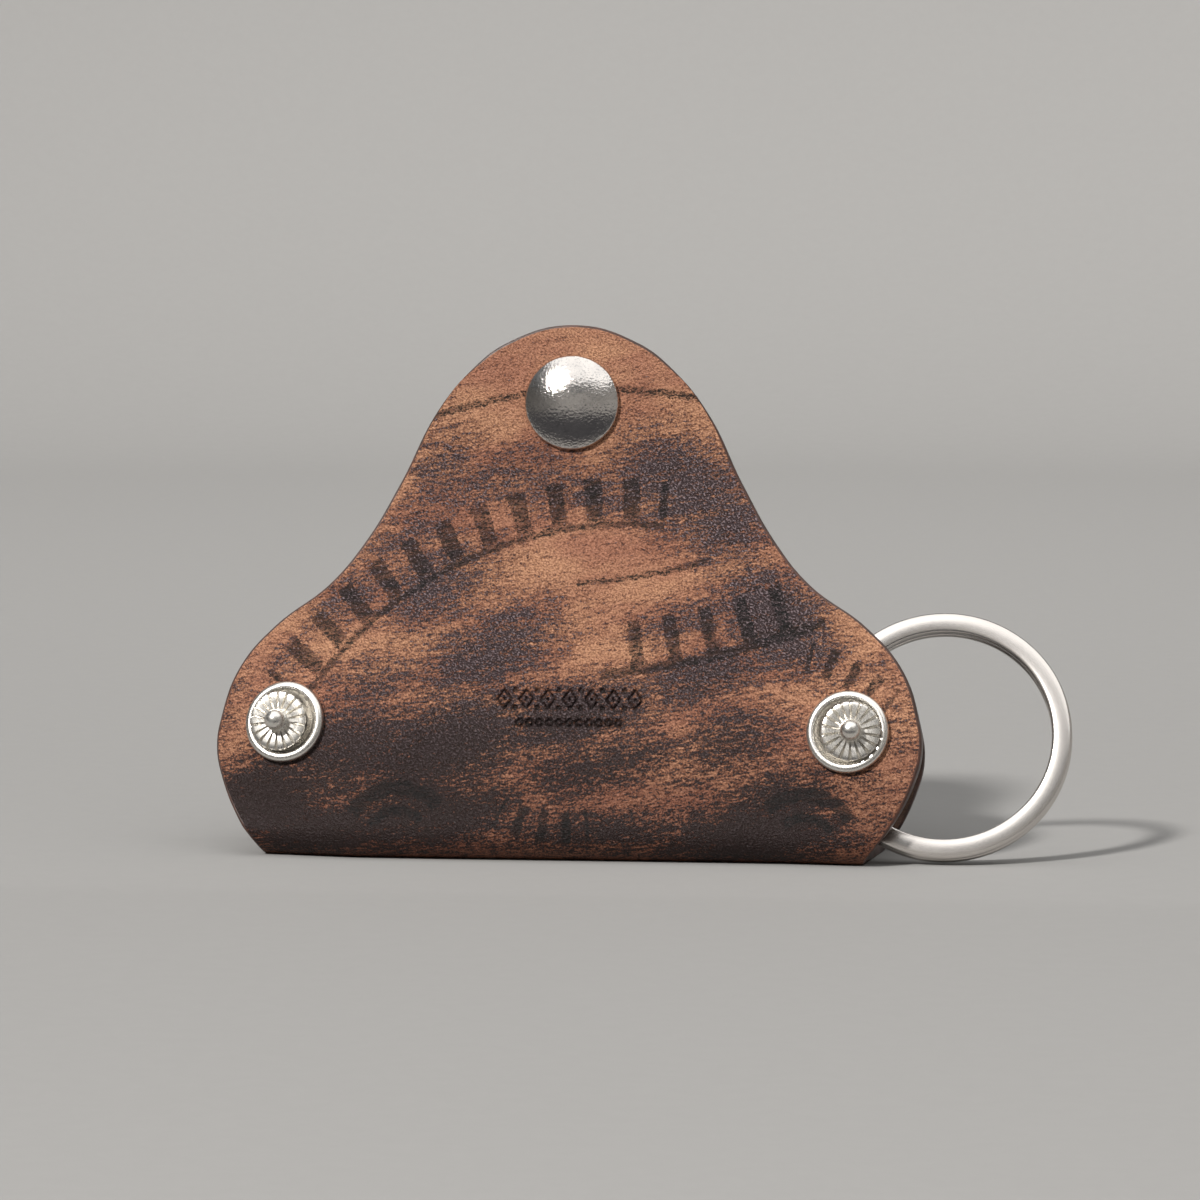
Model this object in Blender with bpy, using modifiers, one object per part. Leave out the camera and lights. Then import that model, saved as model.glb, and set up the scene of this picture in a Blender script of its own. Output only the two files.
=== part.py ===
"""A leather key case that folds at the bottom, snaps shut at the top and carries a split ring.

Metres, +Z up, the front faces -Y. The origin is the middle of the flat underside of the fold.
The leather is one real piece. It is modelled as the folded base and two flaps, because each
panel bends outwards where the bell narrows, once the snap is open.
"""
import math

import bmesh
import bpy
from mathutils import Matrix, Vector

# The leather
CASE_WIDTH = 0.0912
CASE_HEIGHT = 0.0678
CASE_DEPTH = 0.0232
LEATHER = 0.0018
FRONT_OVERHANG = 0.0092
FRONT_FOLD_RADIUS = 0.0036
REAR_FOLD_RADIUS = 0.0026
BEND_HEIGHT = 0.034
LOBE_REACH = 0.0316
LEFT_LOBE_BACK = 0.005
RIGHT_LOBE_FORWARD = 0.0026
REAR_LOBE_SHARE = 0.45
LOBE_FADE_HEIGHT = 0.018
EDGE_TILT = math.radians(12.0)
# The flat seats pressed round each fastener
SEAT_RADIUS = 0.009
SEAT_FADE = 0.006
PROBE = 0.0005
MEET_STEPS = 12
# How far from the middle the outermost line of a bend is looked for, and in how many steps
BEND_REACH_SHARE = 0.7
BEND_STEPS = 14

# Clearances
CLEARANCE = 0.0003
SLIM_CLEARANCE = 0.0002
BEND_GAP = 0.0003
OVERRUN = 0.002
WELD = 0.00001

# The posts
POST_INSET = 0.0093
POST_HEIGHT = 0.0168
POST_PITCH = math.radians(13.0)
LEFT_POST_YAW_SHARE = 0.8
RIGHT_POST_YAW_SHARE = 0.0
# How far each screw sits out of the middle of its front eyelet, away from the case's middle
POST_PLAY = 0.0004
BARREL_RADIUS = 0.0019
THREAD_RADIUS = 0.0008
THREAD_LENGTH = 0.0045
HEAD_LIFT = 0.0011
ROSETTE_RADIUS = 0.0038
ROSETTE_THICKNESS = 0.001
BALL_RADIUS = 0.0013
BALL_TURN = math.radians(135.0)
FLUTES = 18
FLUTE_DEPTH = 0.00035
REAR_HEAD_RADIUS = 0.0036
REAR_HEAD_THICKNESS = 0.0009
SLOT_WIDTH = 0.0008
SLOT_DEPTH = 0.0005

# The eyelets and their washers
EYELET_RADIUS = 0.0053
EYELET_CUP_RADIUS = 0.0042
EYELET_BORE_RADIUS = 0.0029
EYELET_RIM_HEIGHT = 0.0012
EYELET_METAL = 0.00035
CLINCH_WIDTH = 0.0006
WASHER_RADIUS = 0.0048
WASHER_THICKNESS = 0.0005

# The snap
SNAP_DROP = 0.01
SNAP_PLAY = 0.0009
SNAP_LEAN_SHARE = 0.95
CAP_RADIUS = 0.0062
CAP_RISE = 0.0021
CAP_SHANK_RADIUS = 0.0014
CAP_CLINCH_RADIUS = 0.0021
SOCKET_RADIUS = 0.005
SOCKET_NECK_RADIUS = 0.0037
SOCKET_CAVITY_RADIUS = 0.0029
SOCKET_HEIGHT = 0.002
SOCKET_METAL = 0.0004
SPRING_RADIUS = 0.00235
SPRING_WIRE_RADIUS = 0.0002
STUD_RADIUS = 0.0046
STUD_HEAD_RADIUS = 0.00185
STUD_NECK_RADIUS = 0.0016
STUD_HEIGHT = 0.0018
STUD_METAL = 0.00045
STUD_TIP_SHARE = 0.6
POST_CAP_RADIUS = 0.0046
POST_CAP_RISE = 0.0008
POST_SHANK_RADIUS = 0.0009

# The split ring
RING_RADIUS = 0.0163
RING_WIRE_WIDTH = 0.0026
RING_WIRE_THICKNESS = 0.00125
RING_WIRE_CORNER = 0.0003
RING_COIL_GAP = 0.00045
RING_LEAN = math.radians(10.0)
RING_SWING_CLEARANCE = 0.0015
RING_POINTS = 34
RING_STEP_SPAN = math.radians(26.0)
RING_END_ANGLE = math.radians(30.0)

# Facets
SHEET_COLUMNS = 20
FLAP_COLUMNS = 16
WALL_ROWS = 7
FLAP_ROWS = 8
FOLD_ROWS = 3
FLOOR_ROWS = 2
ROUND_STEPS = 24
CAP_STEPS = 32
RIM_STEPS = 4
BALL_STEPS = 4
WIRE_STEPS = 6
OUTLINE_STEPS = 4
SMOOTH_ANGLE = math.radians(35.0)

# Half of the bell: shares of the half width and of the height, from the top down
BELL_SHARES = (
    (0.0, 1.0), (0.186, 0.966), (0.294, 0.910), (0.386, 0.833), (0.485, 0.702), (0.586, 0.588),
    (0.684, 0.512), (0.840, 0.437), (0.941, 0.361), (0.991, 0.267), (1.0, 0.212), (0.978, 0.153),
    (0.921, 0.078), (0.838, 0.0))
# The outer face of each wall: shares of the height and of the depth
FRONT_WALL_SHARES = (
    (0.103, 0.043), (0.170, 0.108), (0.251, 0.185), (0.376, 0.297), (0.501, 0.401),
    (0.590, 0.470), (0.737, 0.560), (0.855, 0.616), (1.060, 0.691))
REAR_WALL_FOOT_SHARE = 0.756
REAR_WALL_SHARES = (
    (0.130, 0.785), (0.251, 0.838), (0.376, 0.875), (0.501, 0.900), (0.590, 0.909))
# The rear wall by the snap: shares of the height and of the snap's stack behind the front wall
REAR_TOP_SHARES = ((0.737, 1.11), (0.855, 1.0), (1.060, 0.975))
# Turned profiles: shares of a radius and of a height, down the outer side
CAP_SHARES = ((0.0, 1.0), (0.33, 0.93), (0.6, 0.74), (0.83, 0.42), (0.97, 0.13), (1.0, 0.0))
REAR_HEAD_SHARES = ((0.0, 1.0), (0.55, 0.95), (0.88, 0.7), (1.0, 0.3), (1.0, 0.0))
PETAL_SHARES = ((0.42, 0.35), (0.64, 1.0), (0.9, 0.75), (1.0, 0.35), (0.98, 0.0))
PETAL_GROOVE_SHARES = (0.0, 1.0, 1.0, 0.5, 0.0)

COLORS = {
    "leather": ((0.20, 0.085, 0.045, 1.0), 0.0, 0.5),
    "nickel": ((0.78, 0.76, 0.70, 1.0), 1.0, 0.22),
    "steel": ((0.72, 0.71, 0.69, 1.0), 1.0, 0.18),
}


def clear_scene():
    for old in list(bpy.data.objects):
        bpy.data.objects.remove(old, do_unlink=True)


def make_collection(name):
    collection = bpy.data.collections.new(name)
    bpy.context.scene.collection.children.link(collection)
    return collection


def make_material(name):
    color, metallic, roughness = COLORS[name]
    material = bpy.data.materials.new(name)
    material.use_nodes = True
    shader = material.node_tree.nodes["Principled BSDF"]
    shader.inputs["Base Color"].default_value = color
    shader.inputs["Metallic"].default_value = metallic
    shader.inputs["Roughness"].default_value = roughness
    return material


clear_scene()
PARTS = make_collection("key_holder")
CUTTERS = make_collection("cutters")
MATERIALS = {name: make_material(name) for name in COLORS}


def finish_part(part, material):
    """Give a part its own copy of a finish and smooth its round faces."""
    own = MATERIALS[material].copy()
    own.name = part.name
    part.data.materials.clear()
    part.data.materials.append(own)
    part.data.shade_smooth()
    part.data.set_sharp_from_angle(angle=SMOOTH_ANGLE)
    return part


def link_only(thing, collection):
    for old in list(thing.users_collection):
        old.objects.unlink(thing)
    collection.objects.link(thing)


def as_guide(thing):
    link_only(thing, CUTTERS)
    thing.hide_render = True
    thing.display_type = "WIRE"
    return thing


def evaluated_copy(source, name):
    """A plain mesh object of what a curve or a modified object shows, with its caps welded."""
    bpy.context.view_layer.update()
    shown = source.evaluated_get(bpy.context.evaluated_depsgraph_get())
    mesh = bpy.data.meshes.new_from_object(shown)
    shape = bmesh.new()
    shape.from_mesh(mesh)
    bmesh.ops.remove_doubles(shape, verts=shape.verts, dist=WELD)
    bmesh.ops.recalc_face_normals(shape, faces=shape.faces)
    shape.to_mesh(mesh)
    shape.free()
    copy = bpy.data.objects.new(name, mesh)
    copy.matrix_world = source.matrix_world
    bpy.data.objects.remove(source, do_unlink=True)
    return copy


def cut(part, cutter, operation="DIFFERENCE"):
    boolean = part.modifiers.new(cutter.name, "BOOLEAN")
    boolean.operation = operation
    boolean.object = cutter


def turned(name, profile, steps, closed):
    """A turned solid about local Z. A closed profile makes a ring, an open one ends on the axis."""
    count = len(profile)
    edges = [(i, i + 1) for i in range(count - 1)]
    if closed:
        edges.append((count - 1, 0))
    mesh = bpy.data.meshes.new(name)
    mesh.from_pydata([(radius, 0.0, height) for radius, height in profile], edges, [])
    part = bpy.data.objects.new(name, mesh)
    PARTS.objects.link(part)
    screw = part.modifiers.new("turn", "SCREW")
    screw.axis = "Z"
    screw.steps = steps
    screw.render_steps = steps
    screw.use_merge_vertices = True
    screw.merge_threshold = WELD
    screw.use_smooth_shade = True
    return part


def scaled(shares, radius, height, base):
    return [(radius * out, base + height * up) for out, up in shares]


def pivot(name, matrix):
    """An empty that a moving piece is parented to, on the axis that it turns about."""
    empty = bpy.data.objects.new(name, None)
    empty.empty_display_size = LEATHER
    empty.matrix_world = matrix
    CUTTERS.objects.link(empty)
    bpy.context.view_layer.update()
    return empty


def seat(part, matrix, parent=None):
    if parent is not None:
        part.parent = parent
        part.matrix_parent_inverse = parent.matrix_world.inverted()
    part.matrix_world = matrix
    return part


def frame_at(point, outward):
    """A frame whose Z leaves the surface and whose X lies level."""
    z_axis = outward.normalized()
    x_axis = Vector((1.0, 0.0, 0.0))
    x_axis = (x_axis - z_axis * x_axis.dot(z_axis)).normalized()
    y_axis = z_axis.cross(x_axis)
    rows = Matrix((x_axis, y_axis, z_axis)).transposed()
    return Matrix.Translation(point) @ rows.to_4x4()


def smooth_value(knots, at):
    """The value at a place on a smooth curve through knots, level at the first of them."""
    last = len(knots) - 1
    index = 0
    while index < last - 1 and at > knots[index + 1][0]:
        index += 1

    def slope(i):
        if i == 0:
            return 0.0
        low, high = max(i - 1, 0), min(i + 1, last)
        return (knots[high][1] - knots[low][1]) / (knots[high][0] - knots[low][0])

    start, end = knots[index], knots[index + 1]
    span = end[0] - start[0]
    t = max(0.0, min(1.0, (at - start[0]) / span))
    return ((2 * t**3 - 3 * t**2 + 1) * start[1] + (t**3 - 2 * t**2 + t) * span * slope(index)
            + (3 * t**2 - 2 * t**3) * end[1] + (t**3 - t**2) * span * slope(index + 1))


def smooth_step(share):
    share = max(0.0, min(1.0, share))
    return share * share * (3.0 - 2.0 * share)


def wall_knots(foot, foot_share, shares):
    knots = [(foot, CASE_DEPTH * foot_share - FRONT_OVERHANG)]
    return knots + [(CASE_HEIGHT * up, CASE_DEPTH * out - FRONT_OVERHANG) for up, out in shares]


def snap_pitch():
    """The snap leans with the front wall at its height."""
    low = smooth_value(FRONT_KNOTS, SNAP_HEIGHT - PROBE)
    high = smooth_value(FRONT_KNOTS, SNAP_HEIGHT + PROBE)
    return math.atan((high - low) / (2 * PROBE)) * SNAP_LEAN_SHARE


def snap_stack():
    """From the front of one wall to the back of the other, through the closed snap."""
    walls = 2 * (LEATHER + CLEARANCE)
    return (walls + SOCKET_HEIGHT + STUD_METAL + SNAP_PLAY) / math.cos(SNAP_PITCH)


def rear_top_knots():
    places = [(CASE_HEIGHT * up, behind) for up, behind in REAR_TOP_SHARES]
    return [(z, smooth_value(FRONT_KNOTS, z) + snap_stack() * behind) for z, behind in places]


POST_OFFSET = CASE_WIDTH / 2 - POST_INSET
SNAP_HEIGHT = CASE_HEIGHT - SNAP_DROP
FRONT_KNOTS = wall_knots(FRONT_FOLD_RADIUS, 0.0, FRONT_WALL_SHARES)
SNAP_PITCH = snap_pitch()
REAR_KNOTS = wall_knots(REAR_FOLD_RADIUS, REAR_WALL_FOOT_SHARE, REAR_WALL_SHARES)
REAR_KNOTS += rear_top_knots()


def lobe_shift(x, z):
    """How far a lobe is bent back on the left, or forward on the right."""
    reach = max(0.0, abs(x) - CASE_WIDTH / 2 + LOBE_REACH) / LOBE_REACH
    bend = LEFT_LOBE_BACK if x < 0 else -RIGHT_LOBE_FORWARD
    held = 1.0 - min(1.0, z / LOBE_FADE_HEIGHT)
    return bend * reach**2 * (1.0 - held**2)


def bent_front(x, z):
    return smooth_value(FRONT_KNOTS, z) + lobe_shift(x, z)


def bent_rear(x, z):
    return smooth_value(REAR_KNOTS, z) + REAR_LOBE_SHARE * lobe_shift(x, z)


def tangent(surface, x, z):
    """The depth of a surface at a point and its slopes along X and Z."""
    slope_x = (surface(x + PROBE, z) - surface(x - PROBE, z)) / (2 * PROBE)
    slope_z = (surface(x, z + PROBE) - surface(x, z - PROBE)) / (2 * PROBE)
    return surface(x, z), slope_x, slope_z


def outward_axis(yaw, pitch):
    """The way a post or the snap points out of the front."""
    return Vector((-math.sin(yaw) * math.cos(pitch), -math.cos(yaw) * math.cos(pitch),
                   math.sin(pitch)))


def meet_rear(start, outward):
    """Where an axis that enters the front at a point leaves the rear wall."""
    travel = CASE_DEPTH
    for _ in range(MEET_STEPS):
        point = start - outward * travel
        travel += (bent_rear(point.x, point.z) - point.y) / -outward.y
    return start - outward * travel


def front_point(x, z):
    return Vector((x, bent_front(x, z), z))


def post_axis(x, yaw_share):
    """A post's start in front and its direction, which turns with the lobe by a share."""
    slope = tangent(bent_front, x, POST_HEIGHT)[1]
    return front_point(x, POST_HEIGHT), outward_axis(-math.atan(slope) * yaw_share, POST_PITCH)


AXES = {
    "left": post_axis(-POST_OFFSET - POST_PLAY, LEFT_POST_YAW_SHARE),
    "right": post_axis(POST_OFFSET + POST_PLAY, RIGHT_POST_YAW_SHARE),
    "snap": (front_point(0.0, SNAP_HEIGHT), outward_axis(0.0, SNAP_PITCH)),
}
FRONT_ENDS = {
    "left": front_point(-POST_OFFSET, POST_HEIGHT),
    "right": front_point(POST_OFFSET, POST_HEIGHT),
    "snap": AXES["snap"][0],
}
REAR_ENDS = {name: meet_rear(point, axis) for name, (point, axis) in AXES.items()}


def wall_seats(surface, places):
    """The flat seats of a wall: along it at the posts, square to the snap at its top."""
    seats = [(places[side], *tangent(surface, places[side].x, places[side].z)[1:])
             for side in ("left", "right")]
    return seats + [(places["snap"], 0.0, math.tan(SNAP_PITCH))]


FRONT_SEATS = wall_seats(bent_front, FRONT_ENDS)
REAR_SEATS = wall_seats(bent_rear, REAR_ENDS)


def seated(surface, seats, x, z):
    """A wall's depth, pressed flat round each fastener."""
    free = surface(x, z)
    depth = free
    for point, slope_x, slope_z in seats:
        away = math.hypot(x - point.x, z - point.z)
        weight = 1.0 - smooth_step((away - SEAT_RADIUS) / SEAT_FADE)
        flat = point.y + slope_x * (x - point.x) + slope_z * (z - point.z)
        depth += weight * (flat - free)
    return depth


def front_face(x, z):
    return seated(bent_front, FRONT_SEATS, x, z)


def rear_face(x, z):
    return seated(bent_rear, REAR_SEATS, x, z)


def wall_stations(face, bottom, top, rows):
    """Rows of a wall, each a function that gives depth and height at a place across it."""
    heights = [bottom + (top - bottom) * row / rows for row in range(rows + 1)]
    return [lambda x, z=z: (face(x, z), z) for z in heights]


def fold_stations(face, radius, inward):
    """Rows of one rounded corner of the fold, from the wall down to the floor."""
    angles = [math.pi / 2 * step / FOLD_ROWS for step in range(FOLD_ROWS + 1)]

    def station(angle):
        return lambda x: (face(x, radius) + inward * radius * (1 - math.cos(angle)),
                          radius * (1 - math.sin(angle)))

    return [station(angle) for angle in angles]


def floor_stations():
    front = front_face(0.0, FRONT_FOLD_RADIUS) + FRONT_FOLD_RADIUS
    rear = rear_face(0.0, REAR_FOLD_RADIUS) - REAR_FOLD_RADIUS
    places = [front + (rear - front) * row / FLOOR_ROWS for row in range(1, FLOOR_ROWS)]
    return [lambda x, y=y: (y, 0.0) for y in places]


def leather_sheet(name, stations, half_width, columns):
    """A bent sheet through its stations, then its thickness, grown inwards."""
    rows = len(stations) - 1
    bpy.ops.mesh.primitive_grid_add(x_subdivisions=columns, y_subdivisions=rows, size=2)
    sheet = bpy.context.active_object
    sheet.name = name
    for vertex in sheet.data.vertices:
        across, along = vertex.co.x, vertex.co.y
        x = across * half_width
        y, z = stations[round((along + 1) / 2 * rows)](x)
        vertex.co = (x, y, z)
    link_only(sheet, PARTS)
    wall = sheet.modifiers.new("thickness", "SOLIDIFY")
    wall.thickness = LEATHER
    wall.offset = -1.0
    wall.use_even_offset = True
    return sheet


def bell_cutter():
    """The bell as a prism whose edges are nearly square to the leaning walls."""
    lean = math.tan(EDGE_TILT)
    half = []
    for out, up in BELL_SHARES:
        height = up * CASE_HEIGHT
        half.append((out * CASE_WIDTH / 2, height + lean * smooth_value(FRONT_KNOTS, height)))
    foot = (half[-1][0], -FRONT_OVERHANG)
    right = half[1:] + [foot]
    left = [(-x, z) for x, z in reversed(right)]
    points = [half[0]] + right + left
    curve = bpy.data.curves.new("bell", "CURVE")
    curve.dimensions = "2D"
    curve.fill_mode = "BOTH"
    curve.extrude = CASE_DEPTH
    curve.resolution_u = OUTLINE_STEPS
    spline = curve.splines.new("BEZIER")
    spline.bezier_points.add(len(points) - 1)
    spline.use_cyclic_u = True
    low = half[-1][1] + WELD
    for knot, (x, z) in zip(spline.bezier_points, points):
        knot.co = (x, z, 0.0)
        kind = "VECTOR" if z < low else "AUTO"
        knot.handle_left_type = kind
        knot.handle_right_type = kind
    outline = bpy.data.objects.new("bell", curve)
    CUTTERS.objects.link(outline)
    outline.matrix_world = Matrix.Rotation(math.pi / 2, 4, "X")
    prism = evaluated_copy(outline, "bell_cutter")
    prism.data.transform(prism.matrix_world)
    prism.matrix_world = Matrix.Identity(4)
    for vertex in prism.data.vertices:
        vertex.co.z -= lean * vertex.co.y
    CUTTERS.objects.link(prism)
    return as_guide(prism)


def hole_cutter(name, matrix, radius):
    """A round cutter through one wall, centred on its seat."""
    bpy.ops.mesh.primitive_cylinder_add(vertices=ROUND_STEPS, radius=radius,
                                        depth=2 * (LEATHER + OVERRUN))
    cutter = bpy.context.active_object
    cutter.name = name
    cutter.matrix_world = matrix
    return as_guide(cutter)


def face_frame(surface, point, side):
    """The frame of a wall's outer face at a fastener; side is -1 in front and 1 behind."""
    _, slope_x, slope_z = tangent(surface, point.x, point.z)
    return frame_at(point, Vector((slope_x, -1.0, slope_z)) * -side)


def seat_frames():
    frames = {}
    for side in ("left", "right"):
        frames[side, "front"] = face_frame(bent_front, FRONT_ENDS[side], -1)
        frames[side, "rear"] = face_frame(bent_rear, REAR_ENDS[side], 1)
    point, axis = AXES["snap"]
    frames["snap", "front"] = frame_at(point, axis)
    frames["snap", "rear"] = frame_at(REAR_ENDS["snap"], -axis)
    return frames


FRAMES = seat_frames()


def bend_axis(face, side):
    """The middle of a bend: the wall's outermost line there, with a slim clearance."""
    step = CASE_WIDTH / 2 * BEND_REACH_SHARE / BEND_STEPS
    places = [step * index for index in range(-BEND_STEPS, BEND_STEPS + 1)]
    depths = [side * face(x, BEND_HEIGHT) for x in places]
    return Vector((0.0, side * (max(depths) + SLIM_CLEARANCE), BEND_HEIGHT))


def make_leather():
    """The folded base and the two flaps."""
    low = BEND_HEIGHT - BEND_GAP / 2
    high = BEND_HEIGHT + BEND_GAP / 2
    top = CASE_HEIGHT + OVERRUN
    rear = wall_stations(rear_face, REAR_FOLD_RADIUS, low, WALL_ROWS)
    front = wall_stations(front_face, FRONT_FOLD_RADIUS, low, WALL_ROWS)
    rear_fold = fold_stations(rear_face, REAR_FOLD_RADIUS, -1)
    front_fold = fold_stations(front_face, FRONT_FOLD_RADIUS, 1)
    fold = rear_fold + floor_stations() + front_fold[::-1]
    stations = rear[:0:-1] + fold + front[1:]
    bell = bell_cutter()
    half_width = CASE_WIDTH / 2 + OVERRUN
    flap_width = half_width * FLAP_COLUMNS / SHEET_COLUMNS
    base = leather_sheet("leather_base", stations, half_width, SHEET_COLUMNS)
    front_flap = leather_sheet(
        "front_flap", wall_stations(front_face, high, top, FLAP_ROWS), flap_width, FLAP_COLUMNS)
    rear_rows = wall_stations(rear_face, high, top, FLAP_ROWS)
    rear_flap = leather_sheet("rear_flap", rear_rows[::-1], flap_width, FLAP_COLUMNS)
    for part in (base, front_flap, rear_flap):
        cut(part, bell, "INTERSECT")
    tube_hole = EYELET_BORE_RADIUS + EYELET_METAL + CLEARANCE
    for side in ("left", "right"):
        for wall in ("front", "rear"):
            name = f"{side}_{wall}_hole"
            cut(base, hole_cutter(name, FRAMES[side, wall], tube_hole))
    cap_hole = hole_cutter("cap_hole", FRAMES["snap", "front"], CAP_SHANK_RADIUS + CLEARANCE)
    cut(front_flap, cap_hole)
    post_hole = hole_cutter("post_hole", FRAMES["snap", "rear"], POST_SHANK_RADIUS + CLEARANCE)
    cut(rear_flap, post_hole)
    for part in (base, front_flap, rear_flap):
        finish_part(part, "leather")
    for part, parent in ((front_flap, PIVOTS["front"]), (rear_flap, PIVOTS["rear"])):
        seat(part, Matrix.Identity(4), parent)


def eyelet_profile():
    """A cupped rim on the leather, a tube through it and a clinch behind the washer."""
    tube = EYELET_BORE_RADIUS + EYELET_METAL
    floor = CLEARANCE + EYELET_METAL
    clinch = -(LEATHER + CLEARANCE + WASHER_THICKNESS + SLIM_CLEARANCE)
    middle = (EYELET_RADIUS + EYELET_CUP_RADIUS) / 2
    half = (EYELET_RADIUS - EYELET_CUP_RADIUS) / 2
    rim = []
    for step in range(RIM_STEPS + 1):
        angle = math.pi * step / RIM_STEPS
        rise = (EYELET_RIM_HEIGHT - floor) * math.sin(angle)
        rim.append((middle + half * math.cos(angle), floor + rise))
    crown = RIM_STEPS // 2
    return (rim[crown::-1] + [(EYELET_RADIUS, CLEARANCE), (tube, CLEARANCE), (tube, clinch),
            (tube + CLINCH_WIDTH, clinch), (tube + CLINCH_WIDTH, clinch - EYELET_METAL),
            (EYELET_BORE_RADIUS, clinch - EYELET_METAL), (EYELET_BORE_RADIUS, floor)]
            + rim[:crown:-1])


def washer_profile():
    hole = EYELET_BORE_RADIUS + EYELET_METAL + CLEARANCE
    top = -(LEATHER + CLEARANCE)
    low = top - WASHER_THICKNESS
    return [(WASHER_RADIUS, top), (WASHER_RADIUS, low), (hole, low), (hole, top)]


def make_eyelets():
    for (side, wall), frame in FRAMES.items():
        if side == "snap":
            continue
        eyelet = turned(f"{side}_{wall}_eyelet", eyelet_profile(), ROUND_STEPS, True)
        washer = turned(f"{side}_{wall}_washer", washer_profile(), ROUND_STEPS, True)
        for part in (eyelet, washer):
            seat(finish_part(part, "nickel"), frame)


def head_base():
    """The height of a screw head's underside over the leather."""
    return CLEARANCE + EYELET_METAL + HEAD_LIFT


def post_length(side):
    return (REAR_ENDS[side] - AXES[side][0]).length


def rosette_profile(length):
    """A ball, the ring of petals, the barrel and the thread inside its far end."""
    base = head_base()
    petals = scaled(PETAL_SHARES, ROSETTE_RADIUS, ROSETTE_THICKNESS, base)
    ball = base + ROSETTE_THICKNESS * PETAL_SHARES[0][1] + BALL_RADIUS
    profile = []
    for step in range(BALL_STEPS + 1):
        angle = BALL_TURN * step / BALL_STEPS
        profile.append((BALL_RADIUS * math.sin(angle), ball + BALL_RADIUS * math.cos(angle)))
    end = -(length + base - SLIM_CLEARANCE)
    bore = THREAD_RADIUS + CLEARANCE
    top = end + THREAD_LENGTH + CLEARANCE
    barrel = [(BARREL_RADIUS, base), (BARREL_RADIUS, end), (bore, end), (bore, top), (0.0, top)]
    return profile + petals + barrel


def flute(head):
    """Press a groove between every two petals."""
    base = head_base()
    heights = [base + ROSETTE_THICKNESS * up for _, up in PETAL_SHARES]
    radii = [ROSETTE_RADIUS * out for out, _ in PETAL_SHARES]
    for vertex in head.data.vertices:
        radius = math.hypot(vertex.co.x, vertex.co.y)
        turn = math.atan2(vertex.co.y, vertex.co.x) / (2 * math.pi) * 2 * FLUTES
        if round(turn) % 2 == 0:
            continue
        for ring_radius, height, groove in zip(radii, heights, PETAL_GROOVE_SHARES):
            if abs(radius - ring_radius) < WELD and abs(vertex.co.z - height) < WELD:
                vertex.co.z -= FLUTE_DEPTH * groove


def make_screws():
    for side in ("left", "right"):
        point, axis = AXES[side]
        frame = frame_at(point, axis)
        parent = PIVOTS[side]
        length = post_length(side)
        source = turned(f"{side}_turned", rosette_profile(length), 2 * FLUTES, False)
        head = evaluated_copy(source, f"{side}_rosette_screw")
        PARTS.objects.link(head)
        flute(head)
        seat(finish_part(head, "nickel"), frame, parent)
        rear = frame_at(REAR_ENDS[side], -axis)
        base = head_base()
        profile = scaled(REAR_HEAD_SHARES, REAR_HEAD_RADIUS, REAR_HEAD_THICKNESS, base)
        thread = base - THREAD_LENGTH
        profile += [(THREAD_RADIUS, base), (THREAD_RADIUS, thread), (0.0, thread)]
        screw = turned(f"{side}_rear_screw", profile, ROUND_STEPS, False)
        bpy.ops.mesh.primitive_cube_add(size=2)
        slot = as_guide(bpy.context.active_object)
        slot.name = f"{side}_slot"
        slot.data.transform(Matrix.Diagonal((REAR_HEAD_RADIUS, SLOT_WIDTH / 2, SLOT_DEPTH, 1.0)))
        slot.matrix_world = rear @ Matrix.Translation((0.0, 0.0, base + REAR_HEAD_THICKNESS))
        cut(screw, slot)
        seat(finish_part(screw, "nickel"), rear, parent)


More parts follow.
